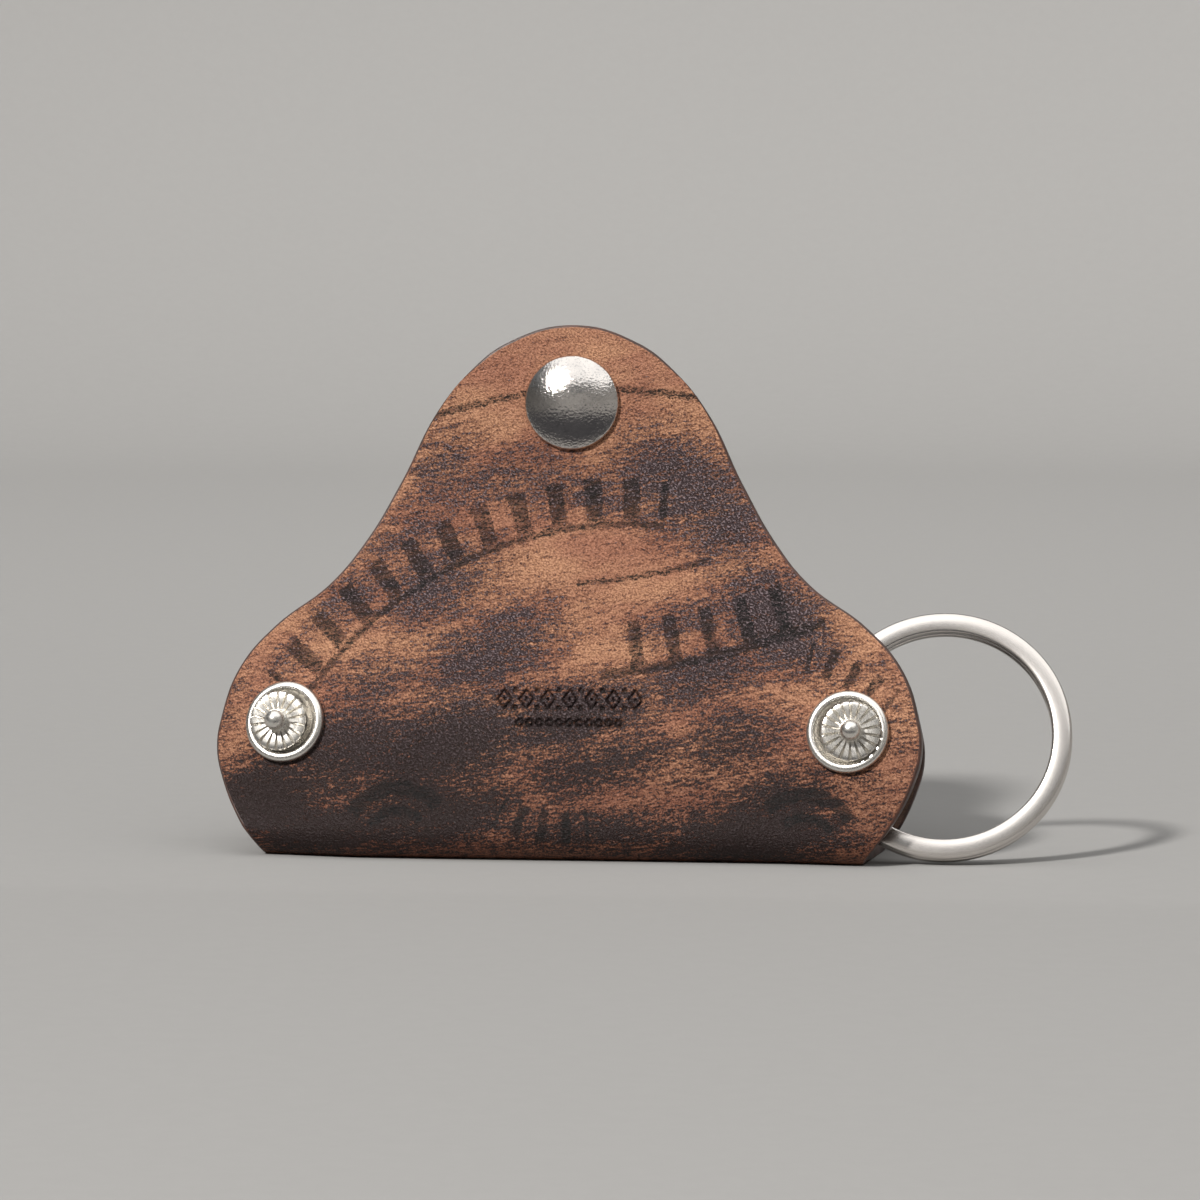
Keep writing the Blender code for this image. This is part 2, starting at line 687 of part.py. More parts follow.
def make_snap():
    """The cap and its socket on the front flap, the stud and its post on the rear one."""
    front, rear = FRAMES["snap", "front"], FRAMES["snap", "rear"]
    inner = -(LEATHER + CLEARANCE)
    plate = inner - SOCKET_METAL
    clinch = plate - SLIM_CLEARANCE
    cap = scaled(CAP_SHARES, CAP_RADIUS, CAP_RISE, CLEARANCE)
    cap += [(CAP_SHANK_RADIUS, CLEARANCE), (CAP_SHANK_RADIUS, clinch),
            (CAP_CLINCH_RADIUS, clinch), (CAP_CLINCH_RADIUS, clinch - SOCKET_METAL),
            (0.0, clinch - SOCKET_METAL)]
    mouth = inner - SOCKET_HEIGHT
    hole = CAP_SHANK_RADIUS + CLEARANCE
    lip = SPRING_RADIUS - SPRING_WIRE_RADIUS
    socket = [(SOCKET_RADIUS, inner), (SOCKET_RADIUS, plate), (SOCKET_NECK_RADIUS, plate),
              (SOCKET_NECK_RADIUS, mouth), (lip, mouth), (lip, mouth + SOCKET_METAL / 2),
              (SOCKET_CAVITY_RADIUS, mouth + SOCKET_METAL), (SOCKET_CAVITY_RADIUS, plate),
              (hole, plate), (hole, inner)]
    stud_top = inner - STUD_HEIGHT
    flange = inner - STUD_METAL
    bore = POST_SHANK_RADIUS + CLEARANCE
    roof = stud_top + STUD_METAL
    stud = [(0.0, stud_top), (STUD_HEAD_RADIUS * STUD_TIP_SHARE, stud_top),
            (STUD_HEAD_RADIUS, stud_top + STUD_METAL / 2), (STUD_HEAD_RADIUS, roof),
            (STUD_NECK_RADIUS, roof + STUD_METAL / 2), (STUD_NECK_RADIUS, flange),
            (STUD_RADIUS, flange), (STUD_RADIUS, inner), (bore, inner), (bore, roof), (0.0, roof)]
    post = scaled(CAP_SHARES, POST_CAP_RADIUS, POST_CAP_RISE, CLEARANCE)
    end = roof + CLEARANCE
    post += [(POST_SHANK_RADIUS, CLEARANCE), (POST_SHANK_RADIUS, end), (0.0, end)]
    coil = []
    for step in range(WIRE_STEPS):
        angle = 2 * math.pi * step / WIRE_STEPS
        rise = SPRING_WIRE_RADIUS * math.cos(angle)
        coil.append((SPRING_RADIUS + SPRING_WIRE_RADIUS * math.sin(angle),
                     mouth + SOCKET_METAL + CLEARANCE + rise))
    pieces = (
        ("snap_cap", cap, CAP_STEPS, False, "steel", front, "front"),
        ("snap_socket", socket, ROUND_STEPS, True, "nickel", front, "front"),
        ("snap_spring", coil, ROUND_STEPS, True, "steel", front, "front"),
        ("snap_stud", stud[::-1], ROUND_STEPS, False, "nickel", rear, "rear"),
        ("snap_post", post, ROUND_STEPS, False, "nickel", rear, "rear"),
    )
    for name, profile, steps, closed, material, frame, flap in pieces:
        part = turned(name, profile, steps, closed)
        seat(finish_part(part, material), frame, PIVOTS[flap])


def ring_path():
    """Points along two turns of flat wire: level, a step to the next turn, and level again."""
    radius = RING_RADIUS - RING_WIRE_WIDTH / 2
    pitch = RING_WIRE_THICKNESS + RING_COIL_GAP
    start = RING_END_ANGLE
    sweep = 4 * math.pi - 2 * RING_END_ANGLE
    points = []
    for index in range(2 * RING_POINTS + 1):
        angle = start + sweep * index / (2 * RING_POINTS)
        step = (angle - 2 * math.pi + RING_STEP_SPAN) / (2 * RING_STEP_SPAN)
        height = pitch * (smooth_step(step) - 1 / 2)
        points.append(Vector((-radius * math.cos(angle), radius * math.sin(angle), height)))
    return points


def print_ring_gap(points):
    """The least gap between the two turns, along the ring's axis."""
    least = RING_RADIUS
    for low in points:
        for high in points:
            level = math.hypot(high.x - low.x, high.y - low.y) < RING_WIRE_WIDTH / 2
            if level and high.z - low.z > RING_WIRE_THICKNESS:
                least = min(least, high.z - low.z - RING_WIRE_THICKNESS)
    print(f"split ring: least gap between turns {least * 1000:.3f} mm")


def wire_section():
    """The flat wire's cross-section, a rectangle with its corners taken off."""
    wide, thick = RING_WIRE_WIDTH / 2, RING_WIRE_THICKNESS / 2
    corner = RING_WIRE_CORNER
    curve = bpy.data.curves.new("wire_section", "CURVE")
    curve.dimensions = "2D"
    curve.fill_mode = "NONE"
    spline = curve.splines.new("POLY")
    quarter = [(wide, thick - corner), (wide - corner, thick)]
    points = quarter + [(-x, y) for x, y in quarter[::-1]]
    points += [(-x, -y) for x, y in points]
    spline.points.add(len(points) - 1)
    spline.use_cyclic_u = True
    for knot, (x, y) in zip(spline.points, points):
        knot.co = (x, y, 0.0, 1.0)
    section = bpy.data.objects.new("wire_section", curve)
    CUTTERS.objects.link(section)
    return as_guide(section)


def ring_frame():
    """The ring's centre and plane: behind the right eyelet, its foot forward on the ground."""
    point, axis = AXES["right"]
    half_thick = RING_WIRE_THICKNESS + RING_COIL_GAP / 2
    clinch = LEATHER + CLEARANCE + WASHER_THICKNESS + SLIM_CLEARANCE + EYELET_METAL
    spread = (half_thick + RING_WIRE_WIDTH * math.sin(RING_LEAN)) / math.cos(RING_LEAN)
    on_post = point - axis * (clinch + RING_SWING_CLEARANCE + spread)
    frame = frame_at(on_post, axis)
    reach = RING_RADIUS - RING_WIRE_WIDTH - BARREL_RADIUS - SLIM_CLEARANCE
    angle = 0.0
    for _ in range(MEET_STEPS):
        turn = Matrix.Rotation(angle, 4, "Z") @ Matrix.Translation((reach, 0.0, 0.0))
        hung = frame @ turn @ Matrix.Rotation(-RING_LEAN, 4, "X")
        normal = hung.col[2]
        lowest = hung.translation.z - half_thick * abs(normal.z)
        lowest -= RING_RADIUS * math.hypot(normal.x, normal.y)
        angle -= lowest / (reach * frame.col[1].z)
    return hung


def make_ring():
    points = ring_path()
    print_ring_gap(points)
    curve = bpy.data.curves.new("split_ring", "CURVE")
    curve.dimensions = "3D"
    curve.twist_mode = "Z_UP"
    curve.bevel_mode = "OBJECT"
    curve.bevel_object = wire_section()
    curve.use_fill_caps = True
    spline = curve.splines.new("POLY")
    spline.points.add(len(points) - 1)
    for knot, point in zip(spline.points, points):
        knot.co = (*point, 1.0)
    source = bpy.data.objects.new("ring_curve", curve)
    PARTS.objects.link(source)
    ring = evaluated_copy(source, "split_ring")
    PARTS.objects.link(ring)
    seat(finish_part(ring, "steel"), ring_frame(), PIVOTS["right"])


PIVOTS = {
    "front": pivot("front_bend", Matrix.Translation(bend_axis(front_face, -1))),
    "rear": pivot("rear_bend", Matrix.Translation(bend_axis(rear_face, 1))),
    "left": pivot("left_post", frame_at(*AXES["left"])),
    "right": pivot("right_post", frame_at(*AXES["right"])),
}
make_leather()
make_eyelets()
make_screws()
make_snap()
make_ring()
for label, empty in PIVOTS.items():
    place = [round(value, 5) for value in empty.matrix_world.translation]
    direction = [round(value, 5) for value in empty.matrix_world.col[2][:3]]
    print(label, "axis through", place, "along Z of", direction)
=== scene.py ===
"""The looks of a folded leather key case with a snap, two posts and a split ring.

Run as a script. Lengths are metres, +Z is up and the front faces -Y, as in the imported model.
"""
import math

import bmesh
import bpy
import numpy as np
from bpy.props import FloatProperty, FloatVectorProperty, IntProperty, PointerProperty
from mathutils import Matrix, Vector


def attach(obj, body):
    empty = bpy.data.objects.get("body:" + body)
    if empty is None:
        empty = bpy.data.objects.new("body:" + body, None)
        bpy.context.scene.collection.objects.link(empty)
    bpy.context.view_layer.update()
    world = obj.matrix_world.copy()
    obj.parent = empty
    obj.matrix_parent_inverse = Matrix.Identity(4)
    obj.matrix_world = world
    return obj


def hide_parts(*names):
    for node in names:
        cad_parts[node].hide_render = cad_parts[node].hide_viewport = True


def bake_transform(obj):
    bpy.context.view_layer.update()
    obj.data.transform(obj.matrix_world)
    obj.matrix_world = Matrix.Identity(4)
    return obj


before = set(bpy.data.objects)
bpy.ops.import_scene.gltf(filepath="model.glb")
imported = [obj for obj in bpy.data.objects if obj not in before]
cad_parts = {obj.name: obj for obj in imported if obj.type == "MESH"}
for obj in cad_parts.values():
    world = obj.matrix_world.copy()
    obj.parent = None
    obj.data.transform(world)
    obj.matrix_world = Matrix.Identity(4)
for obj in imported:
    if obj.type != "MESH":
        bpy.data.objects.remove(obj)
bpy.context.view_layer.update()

bl_info = {
    "name": "Key holder looks",
    "version": (1, 0, 0),
    "blender": (4, 5, 0),
    "location": "View3D > Sidebar > Key holder",
    "description": "Builds the leather, the metal parts and the studio of a leather key holder",
    "category": "Object",
}

# The case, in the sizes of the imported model, with softer seats round the fasteners
CASE_WIDTH = 0.0912
CASE_HEIGHT = 0.0678
CASE_DEPTH = 0.0232
FRONT_OVERHANG = 0.0092
FRONT_FOLD_RADIUS = 0.0036
REAR_FOLD_RADIUS = 0.0026
BEND_HEIGHT = 0.034
LOBE_REACH = 0.0316
LEFT_LOBE_BACK = 0.005
RIGHT_LOBE_FORWARD = 0.0026
REAR_LOBE_SHARE = 0.45
LOBE_FADE_HEIGHT = 0.018
EDGE_LEAN = math.tan(math.radians(12.0))
SEAT_RADIUS = 0.009
SEAT_FADE = 0.011
PROBE = 0.0005
TINY = 0.00001
MEET_STEPS = 12
LEATHER = 0.0018
CLEARANCE = 0.0003
POST_INSET = 0.0093
POST_OFFSET = CASE_WIDTH / 2 - POST_INSET
POST_HEIGHT = 0.0168
POST_PITCH = math.radians(13.0)
LEFT_POST_YAW_SHARE = 0.8
RIGHT_POST_YAW_SHARE = 0.0
POST_PLAY = 0.0004
HEAD_BASE = 0.00175
CLINCH_HEIGHT = 0.00105
CLINCH_REACH = LEATHER + CLEARANCE + CLINCH_HEIGHT
BARREL_RADIUS = 0.0019
SNAP_DROP = 0.01
SNAP_HEIGHT = CASE_HEIGHT - SNAP_DROP
SNAP_LEAN_SHARE = 0.95
SNAP_PLAY = 0.0009
SOCKET_HEIGHT = 0.002
STUD_METAL = 0.00045
SNAP_STACK = 2 * (LEATHER + CLEARANCE) + SOCKET_HEIGHT + STUD_METAL + SNAP_PLAY
RING_RADIUS = 0.0163
RING_WIRE_WIDTH = 0.0026
RING_WIRE_THICKNESS = 0.00125
RING_COIL_GAP = 0.00045
RING_LEAN = math.radians(10.0)
RING_SWING_CLEARANCE = 0.0015
RING_STEP_SPAN = math.radians(26.0)
RING_END_ANGLE = math.radians(30.0)
# The ring's turns as they are seen, closer than in the solid, and how its wire is rounded
RING_SEEN_GAP = 0.00025
RING_WIRE_SQUARENESS = 0.62
RING_HANG_GAP = 0.0002

# The rosette heads: where the petals start, and where their rim is scalloped
PETAL_START = 0.0013
PETAL_RIM = 0.0034

# The seen leather: its highest row, the share of the bell that is its dome, and the highest
# level row's share of the bend's height
TOP_ROW = CASE_HEIGHT * 0.9
DOME_SHARE = 0.45
LEVEL_SHARE = 0.7
# How far its waves fade out from the fold and from the fasteners
FOLD_FADE = 0.003
HELD_RADIUS = 0.0052
HELD_FADE = 0.006
# The lip of leather that each pressed fastener raises round it
LIP_RISE = 0.00011
LIP_WIDTH = 0.0007
EYELET_LIP = 0.0061
SNAP_LIPS = {"front": 0.0070, "rear": 0.0054}
EYELET_HOLE = 0.00345
SNAP_HOLES = {"front": 0.0016, "rear": 0.0011}

BELL_SHARES = (
    (0.0, 1.0), (0.186, 0.966), (0.294, 0.910), (0.386, 0.833), (0.485, 0.702), (0.586, 0.588),
    (0.684, 0.512), (0.840, 0.437), (0.941, 0.361), (0.991, 0.267), (1.0, 0.212), (0.978, 0.153),
    (0.921, 0.078), (0.838, 0.0))
FRONT_WALL_SHARES = (
    (0.103, 0.043), (0.170, 0.108), (0.251, 0.185), (0.376, 0.297), (0.501, 0.401),
    (0.590, 0.470), (0.737, 0.560), (0.855, 0.616), (1.060, 0.691))
REAR_WALL_FOOT_SHARE = 0.756
REAR_WALL_SHARES = (
    (0.130, 0.785), (0.251, 0.838), (0.376, 0.875), (0.501, 0.900), (0.590, 0.909))
REAR_TOP_SHARES = ((0.737, 1.11), (0.855, 1.0), (1.060, 0.975))

# Where the dye lies dark on the front: middle x and z, half width and height (mm), turn, weight
DARK_PATCHES = (
    (-17.0, 50.0, 6.5, 4.5, 55.0, 0.66), (-10.0, 48.0, 12.0, 4.0, 14.0, 0.60),
    (2.0, 46.5, 12.0, 3.6, -4.0, 0.66), (14.5, 47.5, 9.5, 6.5, -22.0, 0.95),
    (20.0, 43.0, 6.0, 6.0, -50.0, 0.88), (-21.5, 40.0, 9.0, 4.6, 42.0, 0.58),
    (-17.0, 34.5, 9.0, 6.0, 24.0, 0.76), (-28.0, 33.0, 8.0, 3.6, 34.0, 0.62),
    (-10.0, 26.0, 11.0, 5.6, 26.0, 0.84), (-24.0, 22.0, 9.0, 4.6, 12.0, 0.62),
    (-28.0, 13.5, 14.0, 6.0, 12.0, 0.97), (-38.0, 8.5, 8.0, 5.5, 20.0, 1.05),
    (-15.0, 14.5, 14.0, 6.0, 20.0, 1.10), (0.0, 18.0, 14.0, 4.6, 12.0, 1.0),
    (-17.0, 6.5, 14.0, 4.6, 10.0, 0.84), (-31.0, 3.5, 10.0, 3.2, 8.0, 0.88),
    (5.0, 12.5, 13.0, 3.8, 10.0, 0.86), (17.0, 23.0, 12.0, 3.6, 16.0, 0.80),
    (15.5, 30.5, 9.0, 3.0, 14.0, 0.62), (27.0, 30.5, 9.0, 5.6, -38.0, 1.06),
    (21.0, 15.0, 9.0, 5.0, 20.0, 0.78), (28.0, 9.0, 9.0, 4.6, 14.0, 0.80),
    (36.0, 12.0, 6.0, 3.4, -14.0, 0.54), (38.0, 24.0, 6.0, 2.6, 24.0, 0.42),
    (25.0, 4.0, 12.0, 4.0, 4.0, 0.86), (-36.0, 25.0, 5.0, 3.0, 36.0, 0.44),
    (6.0, 4.0, 14.0, 3.0, 2.0, 0.62), (-44.5, 19.0, 3.6, 9.0, -6.0, 0.40),
    (43.5, 17.0, 3.6, 9.0, 8.0, 0.40),
)
PATCH_FADE = 1.9

# Waves of the hide: weight, turns per metre across and up, start
HIDE_WAVES = (
    (0.9, 92.0, 141.0, 0.3), (0.8, -133.0, 118.0, 1.9), (0.6, 231.0, 95.0, 4.0),
    (0.5, 174.0, -260.0, 2.6), (0.35, 402.0, 211.0, 5.1), (0.3, -350.0, 388.0, 0.9))

# Faded marks: middle x and z, radius, half width, heading, half span (degrees), bars, duty
INK_ROWS = (
    (8.0, -8.0, 53.6, 2.5, 116.0, 31.0, 12, 0.42), (8.0, -8.0, 50.4, 0.32, 116.0, 31.0, 0, 1.0),
    (4.0, -8.0, 67.6, 0.36, 98.0, 19.0, 0, 1.0), (0.0, 90.0, 55.0, 0.24, 280.0, 9.0, 0, 1.0),
    (-6.0, 130.0, 104.0, 3.2, 283.5, 6.6, 5, 0.34), (-6.0, 130.0, 107.0, 0.5, 283.5, 8.0, 0, 1.0),
    (-21.0, 2.0, 7.2, 0.85, 96.0, 52.0, 0, 1.0), (-21.0, 2.0, 4.4, 0.5, 96.0, 50.0, 0, 1.0),
    (0.0, 22.0, 17.5, 1.9, 262.0, 20.0, 4, 0.36), (31.0, 2.0, 7.0, 0.80, 84.0, 50.0, 0, 1.0),
    (31.0, 2.0, 4.2, 0.5, 84.0, 48.0, 0, 1.0), (24.0, 0.0, 27.0, 1.8, 62.0, 13.0, 4, 0.36))
INK_EDGE = 0.2

# Clouds, streaks, scuffs and pebbles of the grain side: turn (degrees), stretch across and up
# (per mm), detail, roughness, distortion
GRAIN_NOISES = (
    (-10.0, 0.06, 0.15, 3.0, 0.55, 0.0), (-9.0, 0.20, 1.0, 4.0, 0.7, 0.5),
    (-7.0, 1.0, 2.7, 3.0, 0.7, 0.3), (30.0, 3.4, 4.2, 2.0, 0.55, 0.4))


def through(knots):
    """A smooth curve through knots, level at the first of them."""
    places = np.array([knot[0] for knot in knots])
    values = np.array([knot[1] for knot in knots])
    slopes = np.zeros(len(knots))
    for index in range(1, len(knots)):
        low, high = index - 1, min(index + 1, len(knots) - 1)
        slopes[index] = (values[high] - values[low]) / (places[high] - places[low])

    def curve(at):
        at = np.asarray(at, float)
        index = np.clip(np.searchsorted(places, at) - 1, 0, len(knots) - 2)
        span = places[index + 1] - places[index]
        t = np.clip((at - places[index]) / span, 0.0, 1.0)
        return ((2 * t**3 - 3 * t**2 + 1) * values[index]
                + (t**3 - 2 * t**2 + t) * span * slopes[index]
                + (3 * t**2 - 2 * t**3) * values[index + 1]
                + (t**3 - t**2) * span * slopes[index + 1])

    return curve


def smooth_step(share):
    share = np.clip(share, 0.0, 1.0)
    return share * share * (3.0 - 2.0 * share)


def wall_knots(foot, foot_share, shares):
    knots = [(foot, CASE_DEPTH * foot_share - FRONT_OVERHANG)]
    return knots + [(CASE_HEIGHT * up, CASE_DEPTH * out - FRONT_OVERHANG) for up, out in shares]


FRONT_MIDDLE = through(wall_knots(FRONT_FOLD_RADIUS, 0.0, FRONT_WALL_SHARES))
SNAP_PITCH = SNAP_LEAN_SHARE * math.atan(
    (FRONT_MIDDLE(SNAP_HEIGHT + PROBE) - FRONT_MIDDLE(SNAP_HEIGHT - PROBE)) / (2 * PROBE))
REAR_MIDDLE = through(
    wall_knots(REAR_FOLD_RADIUS, REAR_WALL_FOOT_SHARE, REAR_WALL_SHARES)
    + [(CASE_HEIGHT * up, float(FRONT_MIDDLE(CASE_HEIGHT * up))
        + SNAP_STACK / math.cos(SNAP_PITCH) * behind) for up, behind in REAR_TOP_SHARES])


def lobe_shift(x, z):
    """How far a lobe is bent back on the left, or forward on the right."""
    reach = np.maximum(0.0, np.abs(x) - CASE_WIDTH / 2 + LOBE_REACH) / LOBE_REACH
    bend = np.where(np.asarray(x) < 0, LEFT_LOBE_BACK, -RIGHT_LOBE_FORWARD)
    held = 1.0 - np.clip(np.asarray(z) / LOBE_FADE_HEIGHT, 0.0, 1.0)
    return bend * reach**2 * (1.0 - held**2)


def bent_front(x, z):
    return FRONT_MIDDLE(z) + lobe_shift(x, z)


def bent_rear(x, z):
    return REAR_MIDDLE(z) + REAR_LOBE_SHARE * lobe_shift(x, z)


def slopes_at(surface, x, z):
    slope_x = (surface(x + PROBE, z) - surface(x - PROBE, z)) / (2 * PROBE)
    slope_z = (surface(x, z + PROBE) - surface(x, z - PROBE)) / (2 * PROBE)
    return float(slope_x), float(slope_z)


def outward_axis(yaw, pitch):
    return Vector((-math.sin(yaw) * math.cos(pitch), -math.cos(yaw) * math.cos(pitch),
                   math.sin(pitch)))


def front_point(x, z):
    return Vector((x, float(bent_front(x, z)), z))


def post_axis(x, yaw_share):
    slope = slopes_at(bent_front, x, POST_HEIGHT)[0]
    return front_point(x, POST_HEIGHT), outward_axis(-math.atan(slope) * yaw_share, POST_PITCH)


def meet_rear(start, outward):
    travel = CASE_DEPTH
    for _ in range(MEET_STEPS):
        point = start - outward * travel
        travel += (float(bent_rear(point.x, point.z)) - point.y) / -outward.y
    return start - outward * travel


AXES = {
    "left": post_axis(-POST_OFFSET - POST_PLAY, LEFT_POST_YAW_SHARE),
    "right": post_axis(POST_OFFSET + POST_PLAY, RIGHT_POST_YAW_SHARE),
    "snap": (front_point(0.0, SNAP_HEIGHT), outward_axis(0.0, SNAP_PITCH)),
}
FRONT_ENDS = {
    "left": front_point(-POST_OFFSET, POST_HEIGHT),
    "right": front_point(POST_OFFSET, POST_HEIGHT),
    "snap": AXES["snap"][0],
}
REAR_ENDS = {name: meet_rear(point, axis) for name, (point, axis) in AXES.items()}


def frame_at(point, outward):
    """A frame whose Z leaves the surface and whose X lies level."""
    z_axis = outward.normalized()
    x_axis = Vector((1.0, 0.0, 0.0))
    x_axis = (x_axis - z_axis * x_axis.dot(z_axis)).normalized()
    y_axis = z_axis.cross(x_axis)
    return Matrix.Translation(point) @ Matrix((x_axis, y_axis, z_axis)).transposed().to_4x4()


def face_frame(surface, point, side):
    slope_x, slope_z = slopes_at(surface, point.x, point.z)
    return frame_at(point, Vector((slope_x, -1.0, slope_z)) * -side)


def seat_frames():
    frames = {}
    for side in ("left", "right"):
        frames[side, "front"] = face_frame(bent_front, FRONT_ENDS[side], -1)
        frames[side, "rear"] = face_frame(bent_rear, REAR_ENDS[side], 1)
    frames["snap", "front"] = frame_at(*AXES["snap"])
    frames["snap", "rear"] = frame_at(REAR_ENDS["snap"], -AXES["snap"][1])
    return frames


SEATS = seat_frames()


def wall_seats(surface, places):
    seats = [(places[side], *slopes_at(surface, places[side].x, places[side].z))
             for side in ("left", "right")]
    return seats + [(places["snap"], 0.0, math.tan(SNAP_PITCH))]


FRONT_SEATS = wall_seats(bent_front, FRONT_ENDS)
REAR_SEATS = wall_seats(bent_rear, REAR_ENDS)


def seated(surface, seats, x, z):
    """A wall's depth, pressed flat round each fastener."""
    free = surface(x, z)
    depth = free
    for point, slope_x, slope_z in seats:
        away = np.hypot(x - point.x, z - point.z)
        weight = 1.0 - smooth_step((away - SEAT_RADIUS) / SEAT_FADE)
        flat = point.y + slope_x * (x - point.x) + slope_z * (z - point.z)
        depth = depth + weight * (flat - free)
    return depth


def front_face(x, z):
    return seated(bent_front, FRONT_SEATS, x, z)


def rear_face(x, z):
    return seated(bent_rear, REAR_SEATS, x, z)


# Helpers for pieces

def take_off():
    """Deselect everything, because an operator acts on all that is selected."""
    if bpy.context.object and bpy.context.object.mode != "OBJECT":
        bpy.ops.object.mode_set(mode="OBJECT")
    bpy.ops.object.select_all(action="DESELECT")


def take_up(piece):
    take_off()
    piece.select_set(True)
    bpy.context.view_layer.objects.active = piece
    return piece


def added(add, name, **settings):
    """A new primitive, from one of the operators that add them."""
    take_off()
    add(**settings)
    piece = bpy.context.active_object
    piece.name = name
    return piece


def apply_modifier(piece, kind, **settings):
    take_up(piece)
    modifier = piece.modifiers.new(kind.lower(), kind)
    for name, value in settings.items():
        setattr(modifier, name, value)
    bpy.ops.object.modifier_apply(modifier=modifier.name)


def cut_away(piece, cutter):
    """Cut a piece with another, which is then thrown away."""
    apply_modifier(piece, "BOOLEAN", operation="DIFFERENCE", object=cutter, solver="EXACT")
    bpy.data.objects.remove(cutter, do_unlink=True)


def smooth(piece, degrees):
    """Shade a piece smooth, apart from edges sharper than an angle."""
    take_up(piece)
    bpy.ops.object.shade_smooth_by_angle(angle=math.radians(degrees))


def settle(piece, matrix):
    """Put a piece in its place in its own mesh, so that its object stays at the origin."""
    piece.data.transform(matrix @ piece.matrix_world)
    piece.matrix_world = Matrix.Identity(4)
    piece.data.update()
    return piece


def coordinates(mesh):
    flat = np.empty(len(mesh.vertices) * 3)
    mesh.vertices.foreach_get("co", flat)
    return flat.reshape(-1, 3)


def move_to(mesh, places):
    mesh.vertices.foreach_set("co", np.ascontiguousarray(places, float).ravel())
    mesh.update()


def spun(name, profile, steps, closed, angle=60.0):
    """Lay a circle's corners along a profile in the XZ plane and spin it about Z."""
    piece = added(bpy.ops.mesh.primitive_circle_add, name, vertices=len(profile), radius=0.001)
    move_to(piece.data, [(radius, 0.0, height) for radius, height in profile])
    if not closed:
        shape = bmesh.new()
        shape.from_mesh(piece.data)
        shape.verts.ensure_lookup_table()
        ends = {shape.verts[0], shape.verts[len(profile) - 1]}
        loose = [edge for edge in shape.edges if set(edge.verts) == ends]
        bmesh.ops.delete(shape, geom=loose, context="EDGES_FACES")
        shape.to_mesh(piece.data)
        shape.free()
    bpy.ops.object.mode_set(mode="EDIT")
    bpy.ops.mesh.select_all(action="SELECT")
    bpy.ops.mesh.spin(steps=steps, angle=2 * math.pi, center=(0, 0, 0), axis=(0, 0, 1))
    bpy.ops.mesh.select_all(action="SELECT")
    bpy.ops.mesh.remove_doubles(threshold=0.000002)
    bpy.ops.mesh.normals_make_consistent(inside=False)
    bpy.ops.object.mode_set(mode="OBJECT")
    smooth(piece, angle)
    return piece


def rounded(points, radius, steps=3):
    """Round the inner corners of an open profile."""
    result = [points[0]]
    for before, corner, after in zip(points, points[1:], points[2:]):
        here = np.array(corner)
        back, on = np.array(before) - here, np.array(after) - here
        reach = min(radius, np.linalg.norm(back) / 2.2, np.linalg.norm(on) / 2.2)
        start = here + back / np.linalg.norm(back) * reach
        end = here + on / np.linalg.norm(on) * reach
        for step in range(steps + 1):
            t = step / steps
            result.append(tuple((1 - t)**2 * start + 2 * t * (1 - t) * here + t**2 * end))
    return result + [points[-1]]


def arc(middle, radii, start, end, steps):
    angles = np.radians(np.linspace(start, end, steps + 1))
    return [(middle[0] + radii[0] * math.cos(a), middle[1] + radii[1] * math.sin(a))
            for a in angles]


# Materials

class Nodes:
    """Short ways to add and join the nodes of a tree."""

    def __init__(self, tree):
        self.tree = tree

    def add(self, kind, **settings):
        node = self.tree.nodes.new(f"ShaderNode{kind}")
        for name, value in settings.items():
            setattr(node, name, value)
        return node

    def put(self, socket, value):
        """Join a node's output to a socket, or set the socket itself to a constant."""
        if isinstance(value, bpy.types.NodeSocket):
            self.tree.links.new(value, socket)
        elif socket.type == "RGBA":
            socket.default_value = (*value, 1.0)
        elif value is not None:
            socket.default_value = value

    def fill(self, node, **values):
        """Put values into a node's inputs, named here with _ for a space."""
        for name, value in values.items():
            self.put(node.inputs[name.replace("_", " ")], value)
        return node

    def math(self, operation, *values):
        node = self.add("Math", operation=operation)
        for socket, value in zip(node.inputs, values):
            self.put(socket, value)
        return node.outputs[0]

    def times(self, a, b):
        return self.math("MULTIPLY", a, b)

    def vector(self, operation, a, b=None):
        node = self.add("VectorMath", operation=operation)
        self.put(node.inputs[0], a)
        self.put(node.inputs["Scale" if operation == "SCALE" else 1], b)
        return node.outputs["Value" if operation == "LENGTH" else "Vector"]

    def parts(self, vector):
        node = self.add("SeparateXYZ")
        self.put(node.inputs[0], vector)
        return node.outputs

    def noise(self, vector, scale=1.0, detail=2.0, roughness=0.5, distortion=0.0, out="Fac"):
        node = self.fill(self.add("TexNoise"), Vector=vector, Scale=scale, Detail=detail,
                         Roughness=roughness, Distortion=distortion)
        return node.outputs[out]

    def turned(self, vector, degrees, stretch):
        turn = self.fill(self.add("VectorRotate", rotation_type="Z_AXIS"),
                         Vector=vector, Angle=math.radians(degrees))
        return self.vector("MULTIPLY", turn.outputs[0], stretch)

    def spread(self, value, low, high, to_low=0.0, to_high=1.0):
        node = self.fill(self.add("MapRange", interpolation_type="SMOOTHSTEP"), Value=value,
                         From_Min=low, From_Max=high, To_Min=to_low, To_Max=to_high)
        return node.outputs[0]

    def mix(self, share, low, high):
        node = self.add("Mix", data_type="RGBA")
        self.put(node.inputs["Factor"], share)
        colours = [socket for socket in node.inputs if socket.type == "RGBA"]
        for socket, value in zip(colours, (low, high)):
            self.put(socket, value)
        return [socket for socket in node.outputs if socket.type == "RGBA"][0]

    def over(self, base, colour, value, *spread):
        """Lay a colour over a base, by as much as a value's spread says."""
        return self.mix(self.spread(value, *spread), base, colour)


